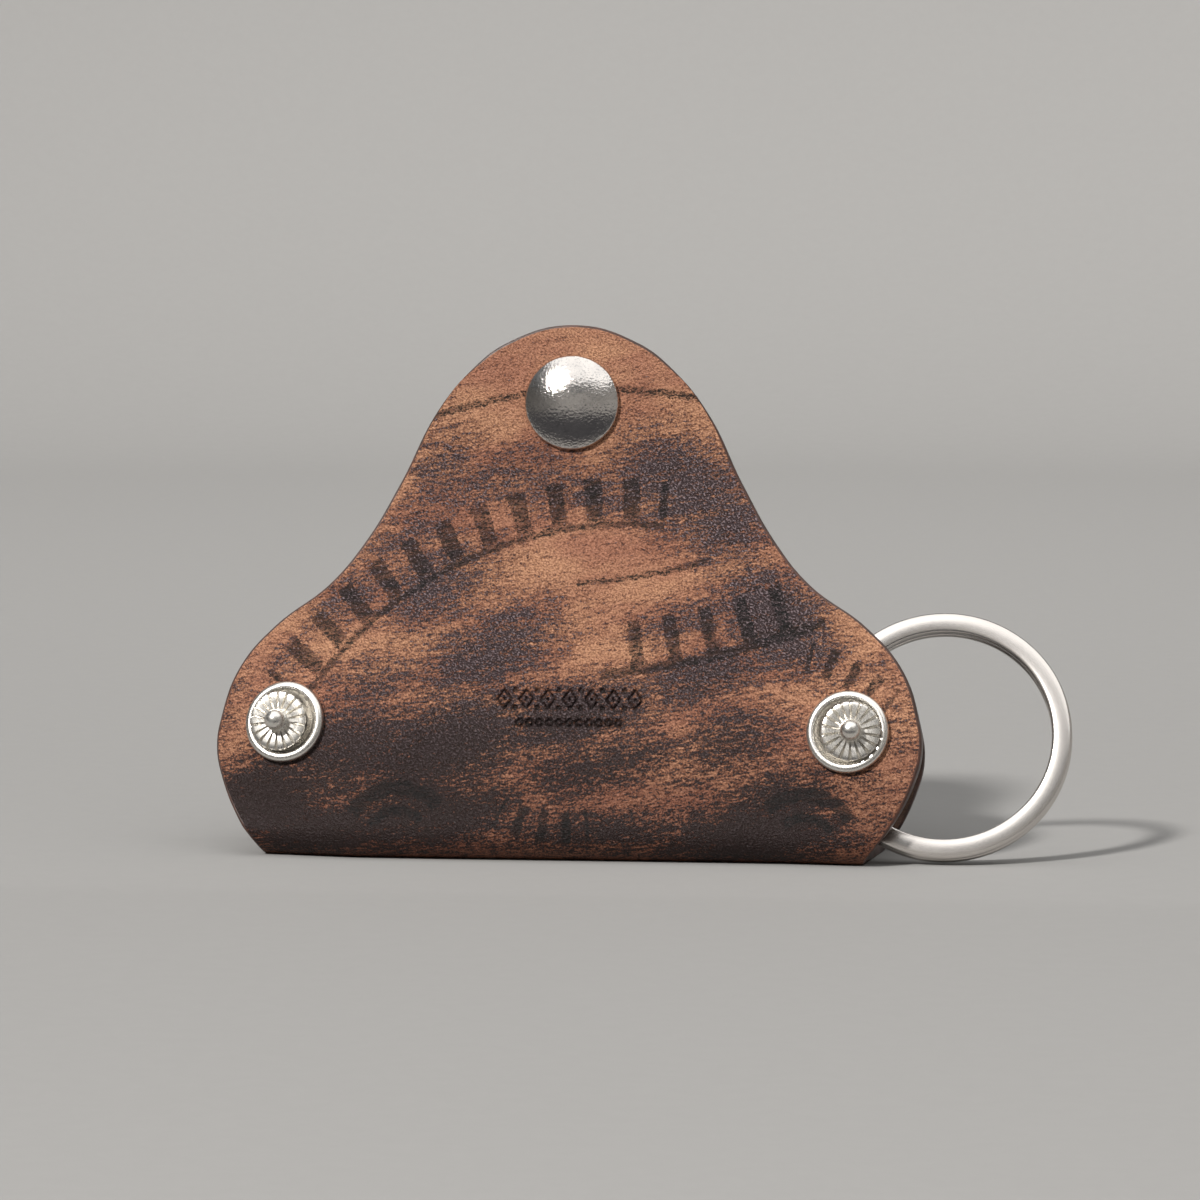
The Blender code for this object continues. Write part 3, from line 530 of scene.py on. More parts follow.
class Finish(Nodes):
    """A new material and its shader."""

    def __init__(self, name):
        self.material = bpy.data.materials.new(name)
        self.material.use_nodes = True
        super().__init__(self.material.node_tree)
        self.shader = self.tree.nodes["Principled BSDF"]

    def shade(self, **values):
        self.fill(self.shader, **values)

    def raise_skin(self, height, distance, strength=1.0):
        """Bump the skin by a height of up to a distance in metres."""
        bump = self.fill(self.add("Bump"), Height=height, Distance=distance, Strength=strength)
        self.shade(Normal=bump.outputs[0])

    def in_mm(self, layout=None):
        """Each point's place in millimetres, in its object or in a flat layout."""
        if layout:
            source = self.add("UVMap", uv_map=layout).outputs[0]
        else:
            source = self.add("TexCoord").outputs["Object"]
        return self.vector("SCALE", source, 1000.0)


def ink_marks(finish, flat):
    """Faded stock marks: arcs, and rows of black bars along arcs."""
    marks = 0.0
    for x, z, radius, half, heading, span, bars, duty in INK_ROWS:
        from_middle = finish.vector("SUBTRACT", flat, (x, z, 0.0))
        away = finish.turned(from_middle, -heading, (1.0, 1.0, 0.0))
        off = finish.math("SUBTRACT", finish.vector("LENGTH", away), radius)
        mark = finish.spread(finish.math("ABSOLUTE", off), half, half + INK_EDGE, 1.0, 0.0)
        across, up, _ = finish.parts(away)
        share = finish.math("DIVIDE", finish.math("ARCTAN2", up, across), math.radians(span))
        edge = INK_EDGE / (radius * math.radians(span))
        side = finish.spread(finish.math("ABSOLUTE", share), 1.0 - edge, 1.0, 1.0, 0.0)
        mark = finish.times(mark, side)
        if bars:
            # a whole number is added, because a ping-pong starts at zero
            count = finish.math("MULTIPLY_ADD", share, bars / 2, 100.0)
            step = finish.math("PINGPONG", count, 0.5)
            bar = finish.spread(step, duty / 2, duty / 2 + edge * bars / 4, 1.0, 0.0)
            mark = finish.times(mark, bar)
        marks = finish.math("MAXIMUM", marks, mark)
    return marks


def make_grain(look):
    """The marbled grain side: dye rubbed over tan, faded ink, pebbled and waxed, with painted
    shade towards the ground and painted sheen higher up.
    """
    finish = Finish("marbled leather")
    flat = finish.in_mm("flat")
    height = finish.parts(flat)[1]
    rubbed, tooled = (finish.add("Attribute", attribute_name=name).outputs["Fac"]
                      for name in ("rubbed", "tooled"))
    clouds, streaks, scuffs, pebbles = (
        finish.noise(finish.turned(flat, turn, (across, up, 0.0)), 1.0, *texture)
        for turn, across, up, *texture in GRAIN_NOISES)
    specks = finish.noise(flat, 3.6, 2.0, 0.6)

    # the dye field grows towards the ground, partly the fold's own darker leather and partly
    # painted shade where the fold turns under the light, and every noise breaks its edges up
    field = finish.math("ADD", rubbed, finish.spread(height, 4.0, 12.0, 0.30, 0.0))
    for pattern, strength in ((clouds, 0.5), (streaks, 1.3), (scuffs, 2.0), (specks, 1.5)):
        field = finish.math("MULTIPLY_ADD", finish.math("SUBTRACT", pattern, 0.5), strength, field)
    base = finish.over(look.tan, look.tan_red, clouds, 0.35, 0.65)
    base = finish.over(base, look.brown, pebbles, 0.34, 0.60, 0.62, 0.0)
    base = finish.over(base, look.brown, field, 0.02, 0.50, 0.0, 0.74)
    # painted shade: brown laid over the lowest part of the front, partly the fold's darker leather
    # and partly shade where it turns under
    base = finish.over(base, look.brown, height, 2.0, 20.0, 0.66, 0.0)
    # purple streaks in the dye, with painted sheen as lighter plum higher up and painted shade as
    # deep charcoal lower down
    purple_and_sheen = finish.times(finish.spread(streaks, 0.3, 0.7),
                          finish.spread(height, 8.0, 34.0, 0.25, 1.6))
    dye = finish.mix(purple_and_sheen, look.charcoal, look.plum)
    # painted sheen: lit glints on the pebble tops of the dark dye, stronger higher up
    painted_pebble_sheen = finish.times(finish.spread(pebbles, 0.48, 0.70),
                        finish.spread(height, 7.0, 33.0, 0.10, 1.0))
    dye = finish.mix(painted_pebble_sheen, dye, look.painted_pebble_sheen)
    base = finish.over(base, dye, field, 0.34, 0.74, 0.0, 0.95)

    # the ink has ragged edges, and is worn off in scuffs
    wander = finish.noise(flat, 1.5, 3.0, 0.7, out="Color")
    wander = finish.vector("SCALE", finish.vector("SUBTRACT", wander, (0.5, 0.5, 0.5)), 1.7)
    worn = finish.math("MULTIPLY_ADD", specks, 0.6, scuffs)
    ink = finish.times(ink_marks(finish, finish.vector("ADD", flat, wander)),
                       finish.spread(worn, 0.71, 0.93, 0.95, 0.0))
    base = finish.mix(ink, base, look.ink)
    base = finish.mix(finish.times(tooled, 0.80), base, look.charcoal)
    gloss = finish.spread(specks, 0.3, 0.7, 0.32, 0.46)
    finish.shade(Base_Color=base, Roughness=finish.math("MULTIPLY_ADD", ink, 0.15, gloss),
                 Specular_IOR_Level=0.16)
    relief = finish.math("MULTIPLY_ADD", specks, 0.5, pebbles)
    finish.raise_skin(finish.math("MULTIPLY_ADD", scuffs, 0.35, relief), 0.00027)
    return finish.material


def make_flesh(look):
    """The inside of the leather: a brown nap, short and matt."""
    finish = Finish("flesh side")
    flat = finish.in_mm("flat")
    nap = finish.noise(flat, 2.6, 4.0, 0.7)
    fibres = finish.noise(finish.turned(flat, 20.0, (1.2, 6.0, 0.0)), 1.0, 3.0, 0.7)
    patches = finish.noise(flat, 0.3, 4.0, 0.65)
    base = finish.over(look.flesh_dark, look.flesh, nap, 0.3, 0.7)
    base = finish.over(base, look.flesh_dark, patches, 0.36, 0.66, 0.0, 0.6)
    finish.shade(Base_Color=base, Roughness=0.9, Sheen_Weight=0.35, Sheen_Roughness=0.5)
    finish.raise_skin(finish.math("ADD", nap, fibres), 0.0002, 0.9)
    return finish.material


def make_edge(look):
    """The cut edge, burnished dark and smooth with faint layers."""
    finish = Finish("burnished edge")
    place = finish.in_mm()
    layers = finish.noise(place, 1.1, 3.0, 0.6)
    wax = finish.noise(place, 0.25)
    base = finish.over(look.edge, look.brown, layers, 0.3, 0.7)
    base = finish.over(base, look.edge, wax, 0.4, 0.65, 0.3, 0.75)
    finish.shade(Base_Color=base, Roughness=finish.spread(wax, 0.3, 0.7, 0.34, 0.5))
    finish.raise_skin(layers, 0.00004, 0.7)
    return finish.material


def make_metal(name, colour, shadow, roughness, grain, speckle, peel, handled):
    """Plated or polished metal: an even skin, a fine orange peel and the dullness of handling."""
    finish = Finish(name)
    place = finish.in_mm()
    cloud = finish.noise(place, 0.45, 3.0, 0.6)
    skin = finish.noise(place, grain, 2.0, 0.55)
    marks = finish.noise(finish.turned(place, 35.0, (0.8, 9.0, 3.0)), 1.0, 2.0, 0.6)
    base = finish.over(colour, shadow, cloud, 0.35, 0.7, 0.0, 0.2)
    base = finish.over(base, shadow, skin, 0.52, 0.74, 0.0, speckle)
    rough = finish.spread(marks, 0.3, 0.75, roughness * (1 - handled), roughness * (1 + handled))
    finish.shade(Base_Color=base, Metallic=1.0, Roughness=rough)
    finish.raise_skin(finish.math("MULTIPLY_ADD", marks, handled, skin), peel)
    return finish.material


# The leather

def bell_outline():
    """The bell's edge from its top down: places across, and heights that lean with the walls."""
    half = [(out * CASE_WIDTH / 2,
             up * CASE_HEIGHT + EDGE_LEAN * float(FRONT_MIDDLE(up * CASE_HEIGHT)))
            for out, up in BELL_SHARES]
    right = half[1:] + [(half[-1][0], -2 * FRONT_OVERHANG)]
    points = [half[0]] + right + [(-x, z) for x, z in reversed(right)]
    curve = bpy.data.curves.new("bell", "CURVE")
    curve.dimensions = "2D"
    curve.resolution_u = 24
    spline = curve.splines.new("BEZIER")
    spline.bezier_points.add(len(points) - 1)
    spline.use_cyclic_u = True
    low = half[-1][1] + TINY
    for knot, (x, z) in zip(spline.bezier_points, points):
        knot.co = (x, z, 0.0)
        kind = "VECTOR" if z < low else "AUTO"
        knot.handle_left_type = kind
        knot.handle_right_type = kind
    outline = bpy.data.objects.new("bell", curve)
    bpy.context.collection.objects.link(outline)
    bpy.context.view_layer.update()
    mesh = bpy.data.meshes.new_from_object(
        outline.evaluated_get(bpy.context.evaluated_depsgraph_get()))
    places = coordinates(mesh)[:, :2]
    bpy.data.objects.remove(outline, do_unlink=True)
    bpy.data.meshes.remove(mesh)
    places = places[places[:, 0] >= -1e-7]
    places = places[np.argsort(-places[:, 1])]
    return np.abs(places[:, 0]), places[:, 1]


class Wall:
    """One half of the leather: a wall, its rounded corner and its part of the floor."""

    def __init__(self, name, face, seats, radius, inward, middle):
        self.name, self.face, self.seats = name, face, seats
        self.radius, self.inward, self.middle = radius, inward, middle
        self.corner_foot = radius * (1 - math.pi / 2)
        floor_end = float(face(0.0, radius)) + inward * radius
        self.lowest = self.corner_foot - abs(floor_end - middle)

    def place(self, x, height):
        """Depth and height of the outer face; a height below the corner runs on round it."""
        x, height = np.asarray(x, float), np.asarray(height, float)
        up = np.maximum(height, self.radius)
        depth = self.face(x, up)
        turn = np.clip((self.radius - height) / self.radius, 0.0, math.pi / 2)
        depth = depth + self.inward * self.radius * (1 - np.cos(turn))
        rise = np.where(height < self.radius, self.radius * (1 - np.sin(turn)), up)
        share = np.clip((self.corner_foot - height) / (self.corner_foot - self.lowest), 0.0, 1.0)
        return depth * (1 - share) + self.middle * share, rise

    def point(self, x, height):
        depth, rise = self.place(x, height)
        return np.stack((np.broadcast_to(x, depth.shape), depth, rise), axis=-1)

    def outward(self, x, height):
        step = 0.0002
        across = self.point(x + step, height) - self.point(x - step, height)
        along = self.point(x, height + step) - self.point(x, height - step)
        normal = np.cross(across, along) * self.inward
        return normal / np.linalg.norm(normal, axis=-1, keepdims=True)


FLOOR_MIDDLE = (
    float(front_face(0.0, FRONT_FOLD_RADIUS)) + FRONT_FOLD_RADIUS
    + float(rear_face(0.0, REAR_FOLD_RADIUS)) - REAR_FOLD_RADIUS) / 2
FRONT_WALL = Wall("front", front_face, FRONT_SEATS, FRONT_FOLD_RADIUS, 1, FLOOR_MIDDLE)
REAR_WALL = Wall("rear", rear_face, REAR_SEATS, REAR_FOLD_RADIUS, -1, FLOOR_MIDDLE)


def edge_width(wall, outline, height, side):
    """How far the leather reaches to one side at a height of its wall."""
    across, level = outline
    width = np.full_like(height, CASE_WIDTH * 0.4)
    for _ in range(MEET_STEPS):
        depth, rise = wall.place(side * width, height)
        width = np.interp(rise + EDGE_LEAN * depth, level[::-1], across[::-1])
    return width


def dome_height(wall, outline, x):
    """The height at which the bell's round top cuts the wall."""
    across, level = outline
    top = level > level[0] - DOME_SHARE * CASE_HEIGHT
    wanted = np.interp(np.abs(x), across[top], level[top])
    height = wanted.copy()
    for _ in range(MEET_STEPS):
        height = wanted - EDGE_LEAN * wall.place(x, height)[0]
    return height


def spaced(stops, sizes):
    """Places from stop to stop, with steps of about the given size in each stretch."""
    places = [stops[0]]
    for start, end, size in zip(stops, stops[1:], sizes):
        count = max(1, round((end - start) / size))
        places += [start + (end - start) * step / count for step in range(1, count + 1)]
    return np.array(places)


def dark_field(x, z, patches):
    """Soft patches of dye, from 0 where the leather stays tan to about 1 where it is darkest."""
    field = np.zeros_like(x)
    for middle_x, middle_z, wide, high, turn, weight in patches:
        angle = math.radians(turn)
        off_x, off_z = x - middle_x / 1000, z - middle_z / 1000
        along = (off_x * math.cos(angle) + off_z * math.sin(angle)) / (wide / 1000)
        across = (-off_x * math.sin(angle) + off_z * math.cos(angle)) / (high / 1000)
        reach = np.hypot(along, across)
        field = np.maximum(field, weight * (1.0 - smooth_step(reach / PATCH_FADE)))
    return field


def waviness(x, z, size):
    """Slow unevenness of the hide, the same on every run."""
    total = sum(weight * np.sin(kx * x + kz * z + start) for weight, kx, kz, start in HIDE_WAVES)
    return size * total / 1.8


def tooled_depth(x, z, tool):
    """The tooled border: a row of lozenges with pips between, over a row of small beads."""
    edge = 0.00012
    frame_share, heart_share = 0.60, 0.26
    pip, pip_rise = 0.00034, 0.36
    bead, bead_hole, bead_drop, bead_spacing = 0.00056, 0.00022, 0.98, 2.2
    pressed = np.zeros_like(x)
    x = x - tool.middle
    z = z - tool.height
    half = (tool.lozenges - 1) / 2
    wide = tool.pitch * 0.40
    for index in range(tool.lozenges):
        reach = np.abs(x - (index - half) * tool.pitch) / wide + np.abs(z) / (tool.tall / 2)
        outer = smooth_step((1.0 - reach) * wide / edge)
        inner = smooth_step((reach - frame_share) * wide / edge)
        heart = smooth_step((heart_share - reach) * wide / edge)
        pressed = np.maximum(pressed, np.maximum(outer * inner, heart))
    for index in range(tool.lozenges - 1):
        off_x = x - (index + 0.5 - half) * tool.pitch
        for rise in (-pip_rise, pip_rise):
            reach = np.hypot(off_x, z - rise * tool.tall)
            pressed = np.maximum(pressed, smooth_step((pip - reach) / edge + 0.5))
    count = 2 * tool.lozenges - 3
    for index in range(count):
        off_x = x - (index - (count - 1) / 2) * tool.pitch / bead_spacing
        reach = np.hypot(off_x, z + tool.tall * bead_drop)
        ring = np.minimum((bead - reach) / edge, (reach - bead_hole) / edge)
        pressed = np.maximum(pressed, smooth_step(ring + 0.5))
    return pressed


def punch_holes(sheet, wall):
    """Cut a round hole for every fastener of a wall."""
    bars = []
    for place, radius in (("left", EYELET_HOLE), ("right", EYELET_HOLE),
                          ("snap", SNAP_HOLES[wall.name])):
        bar = added(bpy.ops.mesh.primitive_cylinder_add, "bar", vertices=48, radius=radius,
                    depth=0.008)
        bars.append(settle(bar, SEATS[place, wall.name]))
    take_up(bars[0])
    for bar in bars:
        bar.select_set(True)
    bpy.ops.object.join()
    cut_away(sheet, bars[0])


def bell_grid(wall, columns, rows):
    """A grid over a wall, with each point's place across the bell and its height on the wall."""
    outline = bell_outline()
    left, right = (edge_width(wall, outline, rows, side) for side in (-1.0, 1.0))

    def across(share, level):
        return (1 + share) / 2 * right[level] - (1 - share) / 2 * left[level]

    across_count, up_count = len(columns) - 1, len(rows) - 1
    sheet = added(bpy.ops.mesh.primitive_grid_add, f"{wall.name}_leather", size=2,
                  x_subdivisions=across_count, y_subdivisions=up_count)
    at = coordinates(sheet.data)
    column = np.rint((at[:, 0] + 1) / 2 * across_count).astype(int)
    row = np.rint((at[:, 1] + 1) / 2 * up_count).astype(int)
    # the rows curve up towards the round top, from level ones below the bend
    start = BEND_HEIGHT * LEVEL_SHARE
    arch = np.clip((rows[row] - start) / (rows[-1] - start), 0.0, 1.0)**2
    rise = dome_height(wall, outline, across(columns, -1)) - rows[-1]
    rise[0] = rise[-1] = 0.0
    return sheet, across(columns[column], row), rows[row] + arch * rise[column]


def hide_relief(wall, x, height, unevenness):
    """The hide's slow waves, still at fold and fasteners, and the lip round each fastener."""
    free = 1.0 - smooth_step((wall.radius - height) / FOLD_FADE)
    swell = np.zeros_like(x)
    for point, *_ in wall.seats:
        away = np.hypot(x - point.x, height - point.z)
        free = free * smooth_step((away - HELD_RADIUS) / HELD_FADE)
        lip = EYELET_LIP if abs(point.x) > HELD_RADIUS else SNAP_LIPS[wall.name]
        swell += LIP_RISE * np.exp(-((away - lip) / LIP_WIDTH)**2)
    return waviness(x, height, unevenness) * free + swell


def write_values(mesh, name, values):
    layer = mesh.attributes.new(name, "FLOAT", "POINT")
    layer.data.foreach_set("value", values.astype(np.float32))


def write_layout(mesh, x, height):
    """Keep each point's place on the flat leather, for the materials."""
    layer = mesh.uv_layers.active or mesh.uv_layers.new(name="flat")
    layer.name = "flat"
    corners = np.empty(len(mesh.loops), int)
    mesh.loops.foreach_get("vertex_index", corners)
    layer.data.foreach_set("uv", np.stack((x[corners], height[corners]), axis=-1).ravel())


def leather_materials(look):
    names = ("marbled leather", "flesh side", "burnished edge")
    if names[0] in bpy.data.materials:
        return [bpy.data.materials[name] for name in names]
    return [make_grain(look), make_flesh(look), make_edge(look)]


def make_leather(wall, columns, rows, look, tool, patches):
    """Bend a grid to a wall, give it its thickness, round its edge, tool it and punch it."""
    sheet, x, height = bell_grid(wall, columns, rows)
    mesh = sheet.data
    normals = wall.outward(x, height)
    relief = hide_relief(wall, x, height, look.unevenness)
    move_to(mesh, wall.point(x, height) + normals * relief[:, None])
    front = wall.name == "front"
    # the rear's layout runs on below the front's, as in the one flat piece
    write_layout(mesh, x, height if front else FRONT_WALL.lowest + wall.lowest - height)
    pressed = tooled_depth(x, height, tool) if front else np.zeros_like(x)
    write_values(mesh, "rubbed", dark_field(x, height, patches))
    write_values(mesh, "tooled", pressed)
    for material in leather_materials(look):
        mesh.materials.append(material)
    if mesh.polygons[0].normal.dot(Vector(normals[0])) < 0:
        mesh.flip_normals()
    apply_modifier(sheet, "SOLIDIFY", thickness=look.thickness, offset=-1.0, use_even_offset=True,
                   material_offset=1, material_offset_rim=2)
    places = coordinates(mesh)
    places[:len(x)] -= normals * (pressed * tool.depth)[:, None]
    move_to(mesh, places)
    round_rim(sheet, look.edge_round)
    punch_holes(sheet, wall)
    smooth(sheet, 50.0)
    return sheet


def round_rim(sheet, size):
    """Bevel the long edges of the rim, but not where the two halves of the fold meet."""
    rim, near, low = 2, 0.0001, 0.003
    take_up(sheet)
    bpy.ops.object.mode_set(mode="EDIT")
    bpy.ops.mesh.select_mode(type="EDGE")
    bpy.ops.mesh.select_all(action="DESELECT")
    shape = bmesh.from_edit_mesh(sheet.data)
    for edge in shape.edges:
        slots = {face.material_index for face in edge.link_faces}
        seam = all(abs(vert.co.y - FLOOR_MIDDLE) < near and vert.co.z < low
                   for vert in edge.verts)
        edge.select_set(len(slots) == 2 and rim in slots and not seam)
    bmesh.update_edit_mesh(sheet.data)
    bpy.ops.mesh.bevel(offset=size, segments=3, affect="EDGES", clamp_overlap=False,
                       material=rim)
    bpy.ops.object.mode_set(mode="OBJECT")


# What a user may change

def length(name, description, default):
    return FloatProperty(name=name, description=description, default=default, min=0.0,
                         unit="LENGTH", subtype="DISTANCE", precision=5)


def colour(name, description, default):
    return FloatVectorProperty(name=name, description=description, default=default, size=3,
                               min=0.0, max=1.0, subtype="COLOR")


def share(name, description, default):
    return FloatProperty(name=name, description=description, default=default, min=0.0, max=1.0,
                         subtype="FACTOR")


def power(name, description, default):
    return FloatProperty(name=name, description=description, default=default, min=0.0,
                         unit="POWER")


def angle(name, description, degrees):
    return FloatProperty(name=name, description=description, default=math.radians(degrees),
                         subtype="ANGLE", unit="ROTATION")


class LeatherLook(bpy.types.PropertyGroup):
    thickness: length("Thickness", "Thickness of the leather", LEATHER)
    edge_round: length("Edge round", "Rounding of the burnished edge", 0.0003)
    unevenness: length("Unevenness", "Slow waves of the hide", 0.00009)
    tan: colour("Tan", "Dyed leather where it is lightest", (0.462, 0.238, 0.136))
    tan_red: colour("Red tan", "Warmer tan in clouds", (0.348, 0.156, 0.096))
    # brown is also laid low on the front, partly as painted shade of the fold turning under
    brown: colour("Brown", "Where the dye thins out", (0.100, 0.034, 0.020))
    # plum also stands for painted sheen higher up, and charcoal for painted shade low down
    plum: colour("Plum", "Dark dye where it is purple", (0.024, 0.016, 0.018))
    # painted sheen: the lit tops of the pebbles in the dark dye
    painted_pebble_sheen: colour("Tips", "Tips of the pebbles, where the dark dye is rubbed thin",
                 (0.205, 0.160, 0.172))
    charcoal: colour("Charcoal", "Dark dye at its deepest", (0.007, 0.0045, 0.004))
    ink: colour("Ink", "Faded stock marks", (0.006, 0.006, 0.006))
    edge: colour("Edge", "Burnished edge", (0.035, 0.018, 0.013))
    flesh: colour("Flesh", "Inside nap", (0.150, 0.080, 0.050))
    flesh_dark: colour("Dark flesh", "Inside nap in its hollows", (0.060, 0.032, 0.022))


class BorderTool(bpy.types.PropertyGroup):
    middle: FloatProperty(name="Middle", description="Middle of the border across the front",
                          default=0.0006, unit="LENGTH", subtype="DISTANCE")
    height: length("Height", "Height of the row of lozenges", 0.0204)
    tall: length("Lozenge", "Height of one lozenge", 0.0030)
    pitch: length("Pitch", "From one lozenge to the next", 0.0028)
    depth: length("Depth", "How deep the tool is pressed", 0.00028)
    lozenges: IntProperty(name="Lozenges", description="Number of lozenges", default=7, min=2)


class MetalLook(bpy.types.PropertyGroup):
    steps: IntProperty(name="Steps", description="Facets round a turned piece", default=96, min=24)
    petals: IntProperty(name="Petals", description="Petals of a rosette", default=18, min=6)
    nickel: colour("Nickel", "Plating of the eyelets, screws and socket", (0.79, 0.76, 0.71))
    nickel_shadow: colour("Dull nickel", "Plating where it is dull", (0.62, 0.58, 0.51))
    steel: colour("Steel", "Polished cap and ring", (0.70, 0.66, 0.62))
    steel_shadow: colour("Dull steel", "Steel where it is dull", (0.58, 0.55, 0.52))
    cap_shadow: colour("Cap specks", "Pits of the cap's plating", (0.22, 0.22, 0.23))
    cap_roughness: share("Cap roughness", "Gloss of the snap's cap", 0.12)
    nickel_roughness: share("Nickel roughness", "Gloss of the nickel", 0.30)
    steel_roughness: share("Steel roughness", "Gloss of the steel", 0.25)


class StudioLook(bpy.types.PropertyGroup):
    paper: colour("Paper", "Floor and backdrop", (0.290, 0.284, 0.275))
    key_power: power("Key", "Power of the key light", 110.0)
    fill_power: power("Fill", "Power of the light overhead", 5.5)
    back_power: power("Backdrop", "Power of the light on the paper behind", 1.7)
    front_power: power("Front wash", "Power of the light on the paper in front", 2.8)
    sky: FloatProperty(name="Sky", description="Strength of the soft light all round",
                       default=0.20, min=0.0, max=4.0)
    lens: length("Lens", "Focal length of the camera", 0.152)
    distance: length("Distance", "From the camera to the case", 0.650)
    azimuth: angle("Azimuth", "Turn of the camera to the right", 5.5)
    elevation: angle("Elevation", "Height of the camera", 5.5)


GROUPS = {"leather": LeatherLook, "tool": BorderTool, "metal": MetalLook, "studio": StudioLook}


# Operators

def metal_material(kind, look):
    """One of the three metals: colours, roughness, grain per mm, specks, peel and handling."""
    if kind in bpy.data.materials:
        return bpy.data.materials[kind]
    if kind == "nickel plate":
        return make_metal(kind, look.nickel, look.nickel_shadow, look.nickel_roughness,
                          5.5, 0.2, 0.0000008, 0.15)
    if kind == "polished cap":
        return make_metal(kind, look.steel, look.cap_shadow, look.cap_roughness,
                          3.2, 0.35, 0.000055, 0.0)
    return make_metal(kind, look.steel, look.steel_shadow, look.steel_roughness,
                      5.5, 0.0, 0.0000006, 0.04)


def dress(piece, kind, body, slot, *nodes):
    """Give a metal piece its finish, its body and the nodes that it stands for."""
    piece.data.materials.clear()
    piece.data.materials.append(metal_material(kind, bpy.context.scene.key_holder_metal))
    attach(piece, body)
    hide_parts(*nodes)


class KEYHOLDER_OT_leather_front(bpy.types.Operator):
    """Build the front of the leather, from the middle of the fold to the top"""
    bl_idname = "key_holder.leather_front"
    bl_label = "Front leather"

    def execute(self, context):
        look, tool = context.scene.key_holder_leather, context.scene.key_holder_tool
        # fine steps under the tooled border, wider ones elsewhere
        fine = 0.232
        columns = spaced((-1.0, -fine, fine, 1.0), (0.017, 0.0036, 0.017))
        low, top = tool.height - tool.tall * 1.3, tool.height + tool.tall * 0.62
        rows = spaced((FRONT_WALL.lowest, low, top, TOP_ROW), (0.00075, 0.00016, 0.00075))
        sheet = make_leather(FRONT_WALL, columns, rows, look, tool, DARK_PATCHES)
        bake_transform(sheet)
        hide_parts("leather_base", "front_flap")
        return {"FINISHED"}


class KEYHOLDER_OT_leather_rear(bpy.types.Operator):
    """Build the rear of the leather, from the middle of the fold to the top"""
    bl_idname = "key_holder.leather_rear"
    bl_label = "Rear leather"

    def execute(self, context):
        look, tool = context.scene.key_holder_leather, context.scene.key_holder_tool
        columns = spaced((-1.0, 1.0), (0.015,))
        rows = spaced((REAR_WALL.lowest, TOP_ROW), (0.0007,))
        # the rear is rubbed like the front seen in a mirror, but less
        patches = [(-x, z, wide, high, -turn, 0.75 * weight)
                   for x, z, wide, high, turn, weight in DARK_PATCHES[::-1][3:]]
        sheet = make_leather(REAR_WALL, columns, rows, look, tool, patches)
        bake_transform(sheet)
        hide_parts("leather_base", "rear_flap")
        return {"FINISHED"}


def eyelet_profile():
    """A rolled rim on a dished flange, a tube through the leather and a rolled clinch."""
    bore, tube = 0.0029, 0.00325
    clinch = -(LEATHER + 0.0008)
    rim = arc((0.00465, 0.00060), (0.00065, 0.00060), -20.0, 160.0, 14)
    dish = [(0.0038, 0.00054), (0.0035, 0.00040), (0.0032, 0.00034)]
    lip = arc((tube + 0.00005, clinch + 0.0001), (0.00065, 0.00042), 10.0, -150.0, 7)
    return ([(0.00525, 0.00003), (0.0053, 0.0002)] + rim + dish
            + [(0.0030, 0.00024), (bore, 0.0), (bore, clinch)] + lip[::-1]
            + [(tube, clinch + 0.0002), (tube, 0.00003)])


def washer_profile():
    """A flat ring with rounded edges, against the inside of the leather."""
    outer, inner = 0.0048, 0.0035
    top, low = -(LEATHER + 0.00004), -(LEATHER + 0.00055)
    square = [(outer, top), (outer, low), (inner, low), (inner, top)]
    return rounded(square + square[:2], 0.00014)[1:-4]


class KEYHOLDER_OT_eyelets(bpy.types.Operator):
    """Build the four eyelets and their washers"""
    bl_idname = "key_holder.eyelets"
    bl_label = "Eyelets and washers"

    def execute(self, context):
        look = context.scene.key_holder_metal
        for side in ("left", "right"):
            for wall in ("front", "rear"):
                for kind, profile in (("eyelet", eyelet_profile()), ("washer", washer_profile())):
                    name = f"{side}_{wall}_{kind}"
                    piece = spun(f"{name}_piece", profile, look.steps, True)
                    settle(piece, SEATS[side, wall])
                    dress(piece, "nickel plate", "case", "nickel", name)
        return {"FINISHED"}


def rosette_profile(span):
    """From the ball's top down the petals to the barrel and its bore."""
    base, ease = HEAD_BASE, 0.0002
    ball = arc((0.0, base + 0.00155), (0.00135, 0.00135), 90.0, -38.0, 16)
    petals = [(radius, base + rise) for radius, rise in (
        (0.00112, 0.00062), (0.00122, 0.00056), (0.00145, 0.00060), (0.0020, 0.00066),
        (0.0026, 0.00070), (0.0031, 0.00071), (0.00345, 0.00069), (0.00366, 0.00062),
        (0.00377, 0.00050), (0.0038, 0.00034), (0.0038, 0.00014), (0.00372, 0.00002),
        (0.0036, 0.0))]
    end = -(span + base - ease)
    bore, bore_end = 0.0011, end + 0.0044
    barrel = [(BARREL_RADIUS + ease, base), (BARREL_RADIUS, base - ease),
              (BARREL_RADIUS, end + ease), (BARREL_RADIUS - ease, end), (bore, end),
              (bore, bore_end), (0.0, bore_end + 0.0004)]
    return ball + petals + barrel


